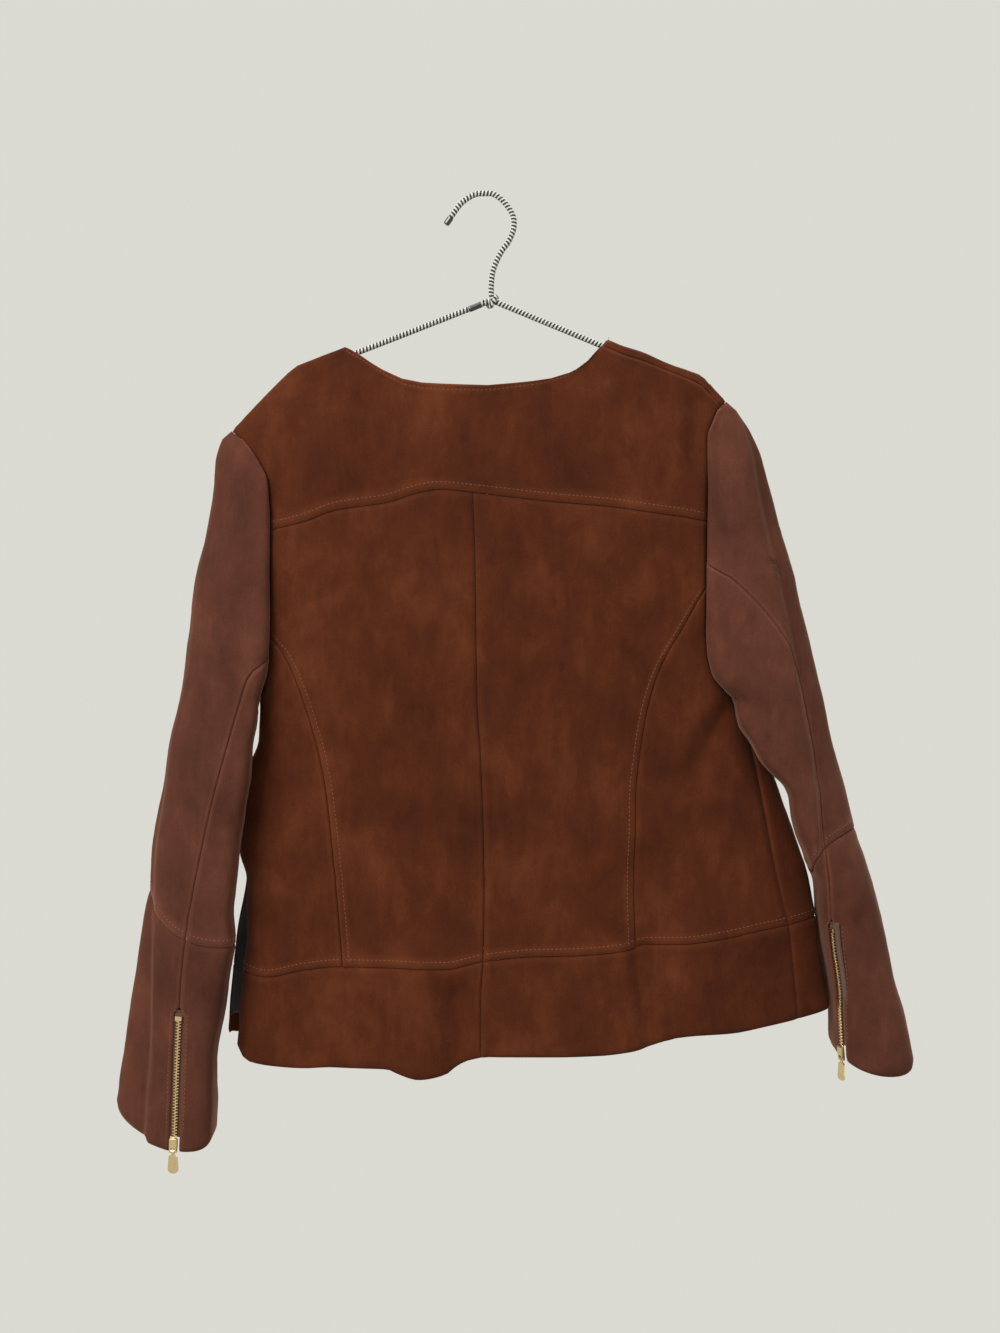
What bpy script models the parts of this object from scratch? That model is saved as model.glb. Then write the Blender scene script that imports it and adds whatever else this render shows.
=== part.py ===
"""Suede jacket hanging by its shoulders on a cord-wrapped wire hanger, metres, +Z up.

The origin is inside the top of the hanger's hook, where a rail or nail carries it.
The jacket's back faces -Y and its fronts face +Y. Tables are in millimetres.

The body is one tube of level sections. A place on it is (angle, height): angle 0 is the
middle of the back, +90 degrees the right-hand edge and +-180 the middle of the front.
A height above the shoulder line counts as the same distance down the other side.
A sleeve is a tube of level sections too. A place on it is (turn, height): turn 0 is the
edge next to the body, 0.25 the back face, 0.5 the outer edge and 0.75 the front face.
Each garment piece is a grid of places between its seams, given the suede's thickness.
"""

import math

import bmesh
import bpy
import numpy as np
from mathutils import Matrix, Vector

MM = 0.001

# Driving dimensions, millimetres
SUEDE = 1.4
LINING = 1.0
SEAM_GAP = 0.3
WIRE_RADIUS = 2.45
SHOULDER_ROUND = 4.5  # radius of the cloth where it turns over the hanger
SHOULDER_SPREAD = 62.0  # how fast back and front part below the shoulder
SIDE_POWER = 0.5  # how square the body's and sleeves' sections are
ARMPIT = -441.0
VENT_TOP = -592.0
SEAM_FADE = 0.17  # share of the sleeve's turn that bends to meet the armhole
ARMPIT_FADE = 70.0  # run below the armpit over which the sleeve leaves the body's edge
ARMPIT_TUCK = 26.0  # run over which it comes forward of it
SEAM_PART = 1.9  # how far the sleeve stands off the body round the armpit, middle to middle
PART_RUN = 16.0  # run over which that distance opens
ARMPIT_CLEAR = 6.5  # the same distance just below the armpit
CLEAR_RISE = 8.0  # run over which it grows to that
CLEAR_FADE = 34.0  # run over which the sleeve comes back against the body's edge
FRONT_BULGE = 3.0  # how far the sleeve's front may pass the seam toward the body
UNDER_BULGE = 2.0  # the same below the armpit
HEAD_STAND = np.array([2.0, 0.0, 0.6])  # how far the sleeve head stands out and up from the seam
ZIP_SLIT = 8.8  # width of the cuff's slit
SLIT_RUN = 6.0  # run over which it opens
TAPE = 1.0
CHAIN_WIDTH = 5.4
CHAIN_DEPTH = 2.0
CHAIN_LIFT = 0.7  # of the teeth's middle off the suede's, so that they stand in the slit
PIN_RADIUS = 0.7
EYE_GAP = 0.3
EYE_WALL = 1.0
PULL_LENGTH = 19.0
PULL_THICK = 1.4

# The shoulder line seen from the back, and its run inside the neck
SHOULDER = dict(
    x=[-250, -225, -217, -204, -190, -177, -169, -157, -142, -126, -3,
       105, 119, 135, 156, 174, 187, 199, 209, 235],
    z=[-233, -207, -199, -185, -170, -157, -150, -145, -139, -133, -85,
       -127, -133, -138, -146, -153, -159, -171, -181, -208],
)

# Level sections of the body: edges, how far each edge lies toward the front, half depths
BODY = dict(
    z=[-120, -200, -235, -300, -380, -421, -441, -468, -480, -507, -540, -576, -600, -649, -685,
        -717, -775],
    left=[-240, -240, -216, -204, -203, -202, -200, -201.7, -203, -214, -218, -220, -214, -214,
           -217, -220, -222],
    right=[226, 214, 206, 205, 204, 208, 214, 226.5, 233, 250, 262, 275, 282, 289.5, 295.5, 300, 305],
    left_y=[0, 0, 0, 1, 3, 4, 5, 7.8, 9, 11, 11, 10, 10, 9, 8, 8, 8],
    right_y=[0, 0, 0, 1, 3, 4, 5, 7.2, 8, 9, 8, 7, 6, 5, 5, 5, 5],
    back=[26, 27, 28, 30, 32, 32, 32, 32, 32, 32, 33, 33, 34, 34, 36, 38, 42],
    front=[24, 25, 26, 27, 28, 29, 30, 30.9, 31, 31, 32, 32, 33, 34, 35, 37, 40],
)

# Soft folds of the back: a line from (x, z) to (x, z), its inward depth and its half width
BACK_FOLDS = [
    dict(start=(183, -182), end=(184, -240), inward=7.0, width=10),
    dict(start=(-152, -165), end=(-186, -285), inward=4.0, width=16),
    dict(start=(214, -440), end=(180, -505), inward=6.0, width=12),
    dict(start=(-30, -700), end=(-22, -775), inward=8.0, width=16),
    dict(start=(-62, -690), end=(-56, -775), inward=-7.0, width=20),
    dict(start=(129, -655), end=(144, -760), inward=7.0, width=10),
    dict(start=(190, -690), end=(196, -770), inward=-4.0, width=26),
    dict(start=(-150, -690), end=(-152, -775), inward=3.0, width=24),
]

# Level sections of the sleeves: inner and outer edge, their y, half depths, ridge and its step
LEFT_SLEEVE = dict(
    z=[-208, -235, -261, -294, -335, -377, -402, -440, -482, -520, -553, -580, -609, -629, -645,
       -687, -720, -758, -783, -832],
    inner=[-220, -201, -190, -190, -190, -187, -188, -190, -200, -207, -212, -215, -218, -220, -219,
           -225, -230, -236, -236, -239],
    outer=[-230, -239, -241, -247, -257, -263, -267, -271.5, -280.5, -286, -292, -295, -297, -302,
           -305, -311, -316, -321.5, -326, -331],
    inner_y=[0, -3, -5, -7, -9, -10, -11, -15, -23, -26, -27, -26, -25, -24, -24,
             -22, -20, -18, -18, -18],
    outer_y=[0, 2, 5, 8, 9, 9, 9, 8, 7, 6, 5, 4, 4, 4, 4, 6, 8, 9, 10, 10],
    back=[4, 13, 18, 22, 25, 28, 29, 29, 27, 26, 26, 26, 27, 27, 27, 27, 27, 28, 28, 28],
    front=[4, 13, 18, 22, 25, 26, 27, 24, 18, 16, 17, 18, 19, 20, 21, 24, 25, 26, 26, 26],
    ridge=[-229, -234, -239, -245, -252, -257, -260, -268, -275, -280, -284, -286.5, -288, -289, -289,
           -289, -288.5, -290, -293, -295],
    step=[0, 2, 3, 4, 5, 6, 6, 7, 8, 9, 10, 10, 10, 10, 10, 11, 12, 12, 12, 12],
)
RIGHT_SLEEVE = dict(
    z=[-182, -204, -230, -253, -281, -319, -368, -408, -441, -452, -464, -478, -496, -507, -517,
       -528, -540, -560, -576, -589, -600, -617, -649, -685, -717, -770],
    inner=[209, 197, 192, 192, 191, 191, 191, 194, 212, 214, 217, 226, 236, 246, 256,
           261, 262, 267, 274, 280, 285, 288, 292, 298, 303, 305],
    outer=[213, 228, 240, 247, 254, 265, 277, 287, 295, 297, 299, 302, 307, 310, 313,
           316, 319, 323.5, 328, 331, 334, 339, 347, 355, 363, 371],
    inner_y=[0, -2, -3, -4, -5, -6, -8, -10, -15, -19, -23, -25, -26, -27, -27,
             -26, -25, -23, -20, -16, -12, -8, -4, -2, 0, 0],
    outer_y=[0, 3, 6, 8, 9, 10, 10, 9, 8, 8, 8, 8, 8, 8, 8, 8, 8, 8, 7, 6, 5, 4, 3, 2, 0, 0],
    back=[3, 10, 16, 20, 23, 26, 29, 30, 29, 28, 27, 26, 26, 26, 27, 28, 29, 31, 32, 33, 34, 36, 38,
          39, 40, 41],
    front=[3, 9, 15, 19, 22, 25, 26, 26, 23, 20, 18, 16, 15, 15, 16, 17, 18, 20, 23, 26, 28, 31, 34,
           37, 39, 40],
    ridge=[213, 222, 229, 233, 238, 247, 257, 264, 270, 271, 273, 276, 278, 279, 280,
           281, 281, 281, 281, 282, 284, 290, 300, 310, 315, 320],
    step=[0, 5, 8, 9, 9, 9, 9, 9, 9, 9, 9, 9, 9, 9, 9, 9, 9, 8, 5, 2, 0, 0, 0, 0, 0, 0],
)

# Armhole seams: x at each height on the back and on the front
ARMHOLES = dict(
    left=dict(
        top=-207,
        back=dict(z=[-207, -217, -234, -252, -295, -360, -403, -425, -441],
                  x=[-225, -214, -202, -193, -190, -190, -191, -194, -200]),
        front=dict(z=[-207, -230, -260, -300, -360, -410, -441],
                   x=[-225, -205, -192, -185, -183, -188, -200]),
    ),
    right=dict(
        top=-181,
        back=dict(z=[-181, -188, -200, -213, -245, -300, -381, -399, -421, -435, -441],
                  x=[209, 202, 197, 192, 192, 191, 190, 191, 196, 206, 214]),
        front=dict(z=[-181, -200, -230, -300, -360, -410, -441],
                   x=[209, 197, 189, 185, 184, 191, 214]),
    ),
)

# Seams of the back, seen from the back
CENTRE_BACK = dict(z=[-265, -318, -388, -446, -495, -546, -616, -667, -700, -775],
                   x=[-13, -11, -10, -9, -6, -4, -3, -4, -6, -6])
CENTRE_FRONT = dict(z=[-200, -400, -600, -775], x=[-2, 2, 8, 10])
YOKE = dict(x=[-190, -158, -133, -85, -64, -41, -12, 22, 59, 108, 145, 169, 191],
            z=[-295, -288, -279, -272, -265, -261, -264, -268, -272, -276, -281, -284, -288])
PRINCESS = dict(
    left=dict(z=[-387, -403, -424, -449, -472, -499, -528, -563, -603, -636, -673],
              x=[-189, -177, -167, -158, -151, -144, -139, -135, -131, -128, -125]),
    right=dict(z=[-344, -355, -380, -410, -444, -468, -495, -525, -546, -599, -638, -657],
               x=[191, 183, 169, 151, 139, 134, 130, 127, 127, 125, 126, 127]),
)
SIDE_SEAM = dict(z=[-441, -480, -530, -592, -624, -640, -716, -775],
                 x=[214, 229, 239, 250, 257, 261, 268, 272])
WAIST = dict(x=[-214, -194, -160, -125, -84, -37, -4, 38, 79, 121, 135, 167, 203, 238, 261],
             z=[-680, -684, -677, -673, -673, -674, -667, -663, -662, -658, -653, -653, -649, -642, -638])
HEM = dict(x=[-221, -216, -207, -188, -160, -132, -87, -75, -60, -47, -35, -26, -13, 0, 60, 96, 123,
              141, 159, 185, 212, 238, 265, 281],
           z=[-741, -753, -758, -760, -761, -759, -759, -763, -766, -765, -763, -757, -751, -748, -748,
              -747, -744, -740, -733, -730, -729, -725, -720, -717])
FRONT_WAIST = dict(x=[-214, -125, 5, 120, 230, 296], z=[-676, -672, -668, -660, -645, -631])
FRONT_HEM = dict(x=[-232, -222, -190, -100, -16, 3, 10, 17, 36, 120, 210, 301],
                 z=[-724, -742, -748, -750, -751, -757, -768, -757, -749, -742, -728, -711])
NECK_BACK = dict(
    x=[-126, -117, -100, -85, -70, -51, -27, -2, 22, 47, 64, 79, 91, 100, 105],
    z=[-133, -138, -150, -159, -165, -168, -169, -170, -168, -165, -161, -154, -144, -133, -127],
)
NECK_FRONT = dict(
    left=dict(x=[-2, -35, -65, -95, -116, -126], height=[-216, -213, -205, -186, -158, -133]),
    right=dict(x=[-2, 30, 58, 84, 99, 105, 100], height=[-216, -213, -203, -182, -155, -127, -117]),
)
for table in NECK_FRONT.values():
    lengths = np.hypot(np.diff(table["x"]), np.diff(table["height"]))
    table["run"] = [0.0, *np.cumsum(lengths)]
NECK_CLOSE = dict(left=[28, 8], right=[32, 18.5, 11.2, 5.6])  # last columns, before the shoulder seam
NECK_POINTS = dict(left=-126, right=100)
NECK_COLUMNS = [-120, -92, -40, 20, 72]  # where the yoke's columns meet the back neckline
SHOULDER_POINTS = dict(left=-225, right=205)
SHOULDER_SHIFT = dict(left=0.0, right=8.0)  # how far down the back the shoulder seam lies
SHOULDER_END = -185.0  # where the right shoulder seam meets the armhole seam

# Heights of the shared points down each armhole, from under its top band to the armpit
HEIGHTS = dict(
    left=dict(yoke=[-215, -235, -262, -295], centre=[-295, -318, -341, -364, -387],
              side=[-387, -403, -417, -428, -436, -441], under_top=-403),
    right=dict(yoke=[-189, -205, -232, -260, -288], centre=[-288, -305, -322, -333, -344],
               side=[-344, -372, -398, -417, -431, -441], under_top=-322),
)
BACK_SEAM = dict(
    left=dict(z=[-403, -425, -441, -470, -542, -660, -708, -840],
              x=[-186, -206, -211, -219, -238, -260, -264, -269]),
    right=dict(z=[-322, -342, -363, -385, -399, -455, -500, -560, -600, -650, -700, -775],
               x=[190, 215, 236, 254, 262, 277, 284, 288, 292, 297, 304, 308]),
)
FRONT_SEAM_TURN = 0.16
FRONT_SEAM_RUN = 110.0
ELBOW = dict(left=dict(inner=-654, outer=-609, power=2.6), right=dict(inner=-592, outer=-554, power=0.45))
CUFF = dict(left=dict(low=-830, high=-789, at=55), right=dict(low=-766, high=-737, at=105))
ZIP_ENDS = dict(left=(-712, -817), right=(-637, -741))

SLEEVES = dict(left=LEFT_SLEEVE, right=RIGHT_SLEEVE)
PART_FROM = dict(back=-420, front=-360)  # heights below which the sleeve stands off the body

# Hanger: the hook's centreline and the arms, seen from the back
HOOK_WIRE = [(-33, -19), (-26, -9), (-21, -4), (-15, 0), (-9, 2.2), (-3, 2.5), (3, 2.4), (8, 0.2),
             (13, -4), (18, -10), (22, -17), (23, -24), (22, -31), (18, -40), (13, -47), (9, -54),
             (6, -61), (4, -68), (3, -77), (3, -86), (4.5, -91)]
ARM_LEFT_WIRE = [(1.7, -92.1), (-116, -138), (-142, -146), (-161, -152.8)]
ARM_RIGHT_WIRE = [(6.5, -93.0), (102, -132.5), (119, -139.8), (135, -144.7), (161, -154.4)]
BAR_CORNER = 9.0
END_CAP = dict(start=(-17, -101), end=(-5, -96), length=12.0)  # the wire's other end, in front
COLOURS = dict(
    suede=(0.105, 0.030, 0.012),
    sleeve_suede=(0.115, 0.040, 0.024),
    lining=(0.004, 0.004, 0.005),
    brass=(0.62, 0.45, 0.20),
    tape=(0.060, 0.022, 0.010),
    cord=(0.20, 0.20, 0.21),
    cap=(0.012, 0.012, 0.014),
)


def slopes(x, y):
    """Slopes of a smooth curve through the points that never overshoots them."""
    step = np.diff(y) / np.diff(x)
    slope = np.zeros(len(x))
    slope[0] = step[0]
    slope[-1] = step[-1]
    same = step[:-1] * step[1:] > 0
    middle = np.zeros(len(step) - 1)
    middle[same] = 2 * step[:-1][same] * step[1:][same] / (step[:-1] + step[1:])[same]
    slope[1:-1] = middle
    return slope


CURVES = {}


def smooth(table, key, at, along="z"):
    """The table's column at a place between its rows."""
    name = (id(table), key, along)
    if name not in CURVES:
        x = np.array(table[along], float)
        y = np.array(table[key], float)
        order = np.argsort(x)
        CURVES[name] = (x[order], y[order], slopes(x[order], y[order]))
    x, y, slope = CURVES[name]
    if at <= x[0]:
        return float(y[0] + slope[0] * (at - x[0]))
    if at >= x[-1]:
        return float(y[-1] + slope[-1] * (at - x[-1]))
    i = int(np.searchsorted(x, at)) - 1
    h = x[i + 1] - x[i]
    t = (at - x[i]) / h
    a = (1 + 2 * t) * (1 - t) ** 2 * y[i] + t * (1 - t) ** 2 * h * slope[i]
    b = t * t * (3 - 2 * t) * y[i + 1] + t * t * (t - 1) * h * slope[i + 1]
    return float(a + b)


def ramp(t):
    t = min(max(t, 0.0), 1.0)
    return t * t * (3 - 2 * t)


def fold_depth(folds, x, z):
    """How far soft folds push the cloth inward at a place seen from the back."""
    total = 0.0
    for fold in folds:
        x0, z0 = fold["start"]
        x1, z1 = fold["end"]
        along = ((x - x0) * (x1 - x0) + (z - z0) * (z1 - z0)) / ((x1 - x0) ** 2 + (z1 - z0) ** 2)
        line = min(max(along, 0.0), 1.0)
        away = math.hypot(x - x0 - line * (x1 - x0), z - z0 - line * (z1 - z0)) / fold["width"]
        total += fold["inward"] * math.exp(-away * away)
    return total


def body_frame(z):
    left = smooth(BODY, "left", z)
    right = smooth(BODY, "right", z)
    return (left + right) / 2, (right - left) / 2


def back_angle(x, z):
    """The angle of a place on the back, from its x."""
    centre, half = body_frame(z)
    return math.asin(min(max((x - centre) / half, -1.0), 1.0))


def front_angle(x, z, side):
    """The angle of a place on the front, counted from the side it belongs to."""
    turn = math.pi if side == "right" else -math.pi
    return turn - back_angle(x, z)


def body(angle, height):
    """The body's point, millimetres, at an angle and a height."""
    centre, half = body_frame(height)
    across = math.sin(angle)
    x = centre + half * across
    top = smooth(SHOULDER, "z", x, "x")
    over = height > top
    z = 2 * top - height if over else height
    toward_back = (math.cos(angle) >= 0) != over
    drop = top - z
    rounding = math.sqrt(max(0.0, 1 - (1 - min(drop / SHOULDER_ROUND, 1.0)) ** 2))
    spread = 1 - math.exp(-drop / SHOULDER_SPREAD)
    depth = smooth(BODY, "back" if toward_back else "front", z)
    side = abs(math.cos(angle)) ** SIDE_POWER
    out = (SHOULDER_ROUND * rounding + (depth - SHOULDER_ROUND) * spread) * side
    edge = smooth(BODY, "right_y" if across > 0 else "left_y", z) * across * across
    if toward_back:
        out -= fold_depth(BACK_FOLDS, x, z) * side * min(1.0, drop / 20)
    y = edge - out if toward_back else edge + out
    if angle < 0 and not toward_back:
        y, x = vent(angle, z, y, x)
    return np.array([x, y, z])


def vent(angle, z, y, x):
    """The left front swings out and back below the open end of the side seam."""
    opened = ramp((VENT_TOP - z) / 70)
    reach = max(0.0, 1 - (-math.pi / 2 - angle) / math.radians(38)) ** 2
    return y + 17 * opened * reach, x - 12 * opened * reach


def ring(side, turn, z):
    """The sleeve's own section, before it is bent to meet the armhole."""
    table = SLEEVES[side]
    column = {name: smooth(table, name, z) for name in table if name != "z"}
    across = math.cos(2 * math.pi * turn)
    toward = math.sin(2 * math.pi * turn)
    middle = (column["inner"] + column["outer"]) / 2
    half = (column["inner"] - column["outer"]) / 2
    x = middle + half * across
    y = column["inner_y"] + (column["outer_y"] - column["inner_y"]) * (1 - across) / 2
    if toward >= 0:
        outward = 1 if side == "right" else -1
        beyond = (x - column["ridge"]) * outward
        y += column["step"] * ramp((beyond + 2) / 7) * toward ** 0.4
        y -= column["back"] * toward ** SIDE_POWER
    else:
        y += column["front"] * (-toward) ** SIDE_POWER
    return np.array([x, y, z])


def armhole(side, face, z):
    """The armhole seam's point at a height, on the back or the front."""
    x = smooth(ARMHOLES[side][face], "x", z)
    angle = back_angle(x, z) if face == "back" else front_angle(x, z, side)
    return body(angle, z)


def near(turn):
    return max(0.0, 1 - turn / SEAM_FADE) ** 2


def sleeve(side, turn, z):
    """The sleeve's point. A turn below 0 is the front face next to the inner edge."""
    whole = turn + 1 if turn < 0 else turn
    outward = 1 if side == "right" else -1
    point = ring(side, whole, z)
    edge = ring(side, 0.0, z)
    if z >= ARMPIT:
        for face, closeness in (("back", near(whole)), ("front", near(1 - whole))):
            seam = armhole(side, face, z)
            point = point + (seam - edge) * closeness
            part = outward * SEAM_PART * ramp((PART_FROM[face] - z) / PART_RUN)
            point[0] += part * closeness
            if face == "front" and whole > 0.5:
                limit = seam[0] + part + outward * FRONT_BULGE * (1 - closeness)
                point[0] = outward * max(outward * point[0], outward * limit)
        return point
    below = ARMPIT - z
    stay = max(0.0, 1 - below / ARMPIT_FADE)
    pull = armhole(side, "back", ARMPIT) - ring(side, 0.0, ARMPIT)
    clear = SEAM_PART + (ARMPIT_CLEAR - SEAM_PART) * ramp(below / CLEAR_RISE)
    clear *= max(0.0, 1 - below / CLEAR_FADE) ** 2
    pull[0] = stay * pull[0] + outward * clear
    pull[1] *= max(0.0, 1 - below / ARMPIT_TUCK) ** 2
    closeness = near(whole) + near(1 - whole) if 0 < whole < 1 else 1.0
    point = point + pull * closeness
    if whole > 0.5:
        limit = edge[0] + pull[0] + outward * UNDER_BULGE * (1 - closeness) * stay
        point[0] = outward * max(outward * point[0], outward * limit)
    return point


def coons(top, bottom, left, right):
    """A grid of places between four edges. Rows run from top to bottom, columns from left to right."""
    u = ((shares(top) + shares(bottom)) / 2)[None, :, None]
    v = ((shares(left) + shares(right)) / 2)[:, None, None]
    top, bottom, left, right = (np.array(edge, float) for edge in (top, bottom, left, right))
    down = (1 - v) * top[None] + v * bottom[None]
    across = (1 - u) * left[:, None] + u * right[:, None]
    corners = ((1 - u) * (1 - v) * top[0] + u * (1 - v) * top[-1]
               + (1 - u) * v * bottom[0] + u * v * bottom[-1])
    return down + across - corners


EDGE_SCALE = np.array([220.0, 1.0])  # an angle's share of a length, millimetres each radian


def spaced(first, last, count):
    return [first + (last - first) * i / count for i in range(count + 1)]


def shares(edge):
    """How far along an edge each of its places lies, from 0 to 1."""
    steps = np.linalg.norm(np.diff(np.array(edge, float) * EDGE_SCALE, axis=0), axis=1)
    run = np.concatenate([[0], np.cumsum(steps)])
    return run / run[-1]


def matching(first, last, edge):
    """Values from first to last, spaced as the places of an edge are."""
    return [first + (last - first) * share for share in shares(edge)]


def widening(first, last, count):
    """As spaced, with the first steps shorter."""
    return [first + (last - first) * (i / count) ** 1.35 for i in range(count + 1)]


def back_line(table, xs):
    """Places on the back along a seam given by x."""
    return [(back_angle(x, smooth(table, "z", x, "x")), smooth(table, "z", x, "x")) for x in xs]


def back_down(table, zs):
    """Places on the back along a seam given by height."""
    return [(back_angle(smooth(table, "x", z), z), z) for z in zs]


def front_down(table, zs, side):
    return [(front_angle(smooth(table, "x", z), z, side), z) for z in zs]


def shoulder_places(side, xs, face):
    """Places along the shoulder seam, which may lie below the shoulder line on the back."""
    places = []
    for x in xs:
        top = smooth(SHOULDER, "z", x, "x")
        shift = SHOULDER_SHIFT[side]
        if face == "back":
            places.append((back_angle(x, top - shift), top - shift))
        else:
            places.append((front_angle(x, top + shift, side), top + shift))
    return places


def over_shoulder(side, z):
    """A front's place on the back armhole seam, reached over the shoulder."""
    x = smooth(ARMHOLES[side]["back"], "x", z)
    height = 2 * smooth(SHOULDER, "z", x, "x") - z
    return front_angle(x, height, side), height


def neck_front_places(side, count):
    """Places along a front's neckline, from the centre front to the shoulder seam."""
    table = NECK_FRONT[side]
    close = NECK_CLOSE[side]
    end = table["run"][-1]
    runs = spaced(0, end - close[0], count - len(close)) + [end - before for before in close[1:]] + [end]
    places = []
    for run in runs:
        x = smooth(table, "x", run, "run")
        height = smooth(table, "height", run, "run")
        places.append((front_angle(x, height, side), height))
    return places


def mid_surface(grid, place):
    return np.array([[place(a, b) for a, b in row] for row in grid])


PANELS = {}  # name of each piece: its grid of middle points and what it is made of


def add_panel(name, points, inside, thick=SUEDE):
    """Keeps a piece's grid of middle points. inside gives a point within the tube near a point."""
    normals = grid_normals(points)
    outward = sum(n @ (p - inside(p)) for n, p in zip(normals.reshape(-1, 3), points.reshape(-1, 3)))
    PANELS[name] = dict(points=points, normals=normals * math.copysign(1, outward), thick=thick)


def body_inside(point):
    return np.array([point[0], 2.0, point[2]])


def add_body_panel(name, grid):
    add_panel(name, mid_surface(grid, body), body_inside)


def add_sleeve_panel(name, side, points):
    def inside(point):
        return (ring(side, 0.0, point[2]) + ring(side, 0.5, point[2])) / 2

    add_panel(name, points, inside)


ROLL = [0.0, 1.0, 3.2]  # drops of the rows that round the cloth over the shoulder
COLUMNS = dict(centre=7, side=5, shoulder=4, front=11)
ROWS = dict(princess=8, waist=4)


def back_panels():
    """Yoke, centre backs, side backs and back peplums."""
    centre_x = smooth(CENTRE_BACK, "x", -265)
    yoke_left = spaced(-190, centre_x, COLUMNS["centre"])
    yoke_right = spaced(centre_x, 191, COLUMNS["centre"])
    seam = back_line(YOKE, yoke_left) + back_line(YOKE, yoke_right[1:])
    shoulder = COLUMNS["shoulder"]
    left = spaced(SHOULDER_POINTS["left"], NECK_POINTS["left"], shoulder)
    top = shoulder_places("left", left, "back")
    top += back_line(NECK_BACK, NECK_COLUMNS)
    right = spaced(NECK_POINTS["right"], SHOULDER_POINTS["right"], shoulder)
    top += shoulder_places("right", right, "back")
    left_zs = [-207 - drop for drop in ROLL] + HEIGHTS["left"]["yoke"]
    left_edge = back_down(ARMHOLES["left"]["back"], left_zs)
    right_zs = [SHOULDER_END, -187, *HEIGHTS["right"]["yoke"]]
    right_edge = back_down(ARMHOLES["right"]["back"], right_zs)
    top[-1] = right_edge[0]
    add_body_panel("back_yoke", coons(top, seam, left_edge, right_edge))
    for side, columns in (("left", yoke_left), ("right", yoke_right)):
        centre_back(side, columns)
        side_back(side)
        back_peplum(side)


def princess_places(side):
    """Places down a princess seam, from the armhole seam to the waist seam."""
    table = PRINCESS[side]
    places = back_down(table, spaced(table["z"][0], table["z"][-1], ROWS["princess"]))
    places[0] = back_down(ARMHOLES[side]["back"], [table["z"][0]])[0]
    places[-1] = back_line(WAIST, [table["x"][-1]])[0]
    return places


def centre_back(side, yoke_x):
    outer = back_down(ARMHOLES[side]["back"], HEIGHTS[side]["centre"]) + princess_places(side)[1:]
    centre_z = spaced(-265, smooth(WAIST, "z", -4, "x"), len(outer) - 1)
    inner = back_down(CENTRE_BACK, centre_z)
    yoke = back_line(YOKE, yoke_x)
    waist_x = spaced(PRINCESS[side]["x"][-1], smooth(CENTRE_BACK, "x", -667), COLUMNS["centre"])
    waist = back_line(WAIST, waist_x)
    if side == "left":
        inner[0] = yoke[-1]
        waist[-1] = inner[-1]
        waist[0] = outer[-1]
        outer[0] = yoke[0]
        add_body_panel("back_centre_left", coons(yoke, waist, outer, inner))
        return
    waist = waist[::-1]
    inner[0] = yoke[0]
    waist[0] = inner[-1]
    waist[-1] = outer[-1]
    outer[0] = yoke[-1]
    add_body_panel("back_centre_right", coons(yoke, waist, inner, outer))


def side_edge(side, zs, face="back"):
    """Places down the side seam, at the left edge or on the back at the right."""
    if side == "left":
        past = 1e-12 if face == "front" else 0.0
        return [(-math.pi / 2 - past, z) for z in zs]
    return back_down(SIDE_SEAM, zs)


def side_waist(side):
    outer_x = -214 if side == "left" else 261
    inner_x = PRINCESS[side]["x"][-1]
    return back_line(WAIST, spaced(inner_x, outer_x, COLUMNS["side"]))


def side_back(side):
    princess = princess_places(side)
    top = back_down(ARMHOLES[side]["back"], HEIGHTS[side]["side"])
    waist = side_waist(side)
    edge = side_edge(side, spaced(ARMPIT, waist[-1][1], ROWS["princess"]))
    top[0] = princess[0]
    top[-1] = edge[0]
    waist[0] = princess[-1]
    waist[-1] = edge[-1]
    add_body_panel("back_side_" + side, coons(top, waist, princess, edge))


def back_peplum(side):
    inner_x = smooth(CENTRE_BACK, "x", -667)
    inner = spaced(PRINCESS[side]["x"][-1], inner_x, COLUMNS["centre"])
    top = side_waist(side)[::-1] + back_line(WAIST, inner)[1:]
    outer_hem = -221 if side == "left" else 270
    middle_hem = smooth(CENTRE_BACK, "x", -748)
    princess_hem = -123 if side == "left" else 133
    hem_x = spaced(outer_hem, princess_hem, COLUMNS["side"])
    hem_x += spaced(princess_hem, middle_hem, COLUMNS["centre"])[1:]
    hem = back_line(HEM, hem_x)
    outer = side_edge(side, spaced(top[0][1], hem[0][1], ROWS["waist"]))
    centre = back_down(CENTRE_BACK, spaced(top[-1][1], hem[-1][1], ROWS["waist"]))
    top[0] = outer[0]
    top[-1] = centre[0]
    hem[0] = outer[-1]
    hem[-1] = centre[-1]
    add_body_panel("peplum_back_" + side, coons(top, hem, outer, centre))


def front_edge(side, bottom):
    """Places down the outer edge of a front: over the shoulder, armhole, then the side seam."""
    top = ARMHOLES[side]["top"]
    places = []
    if SHOULDER_SHIFT[side]:
        places = [over_shoulder(side, z) for z in (SHOULDER_END, top - 2.5, top - 1.0)]
    places += front_down(ARMHOLES[side]["front"], [top - drop for drop in ROLL], side)
    heights = HEIGHTS[side]
    zs = heights["yoke"] + heights["centre"][1:] + heights["side"][1:]
    places += front_down(ARMHOLES[side]["front"], zs, side)[:-1]
    return places + side_edge(side, spaced(ARMPIT, bottom, ROWS["princess"]), "front")


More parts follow.
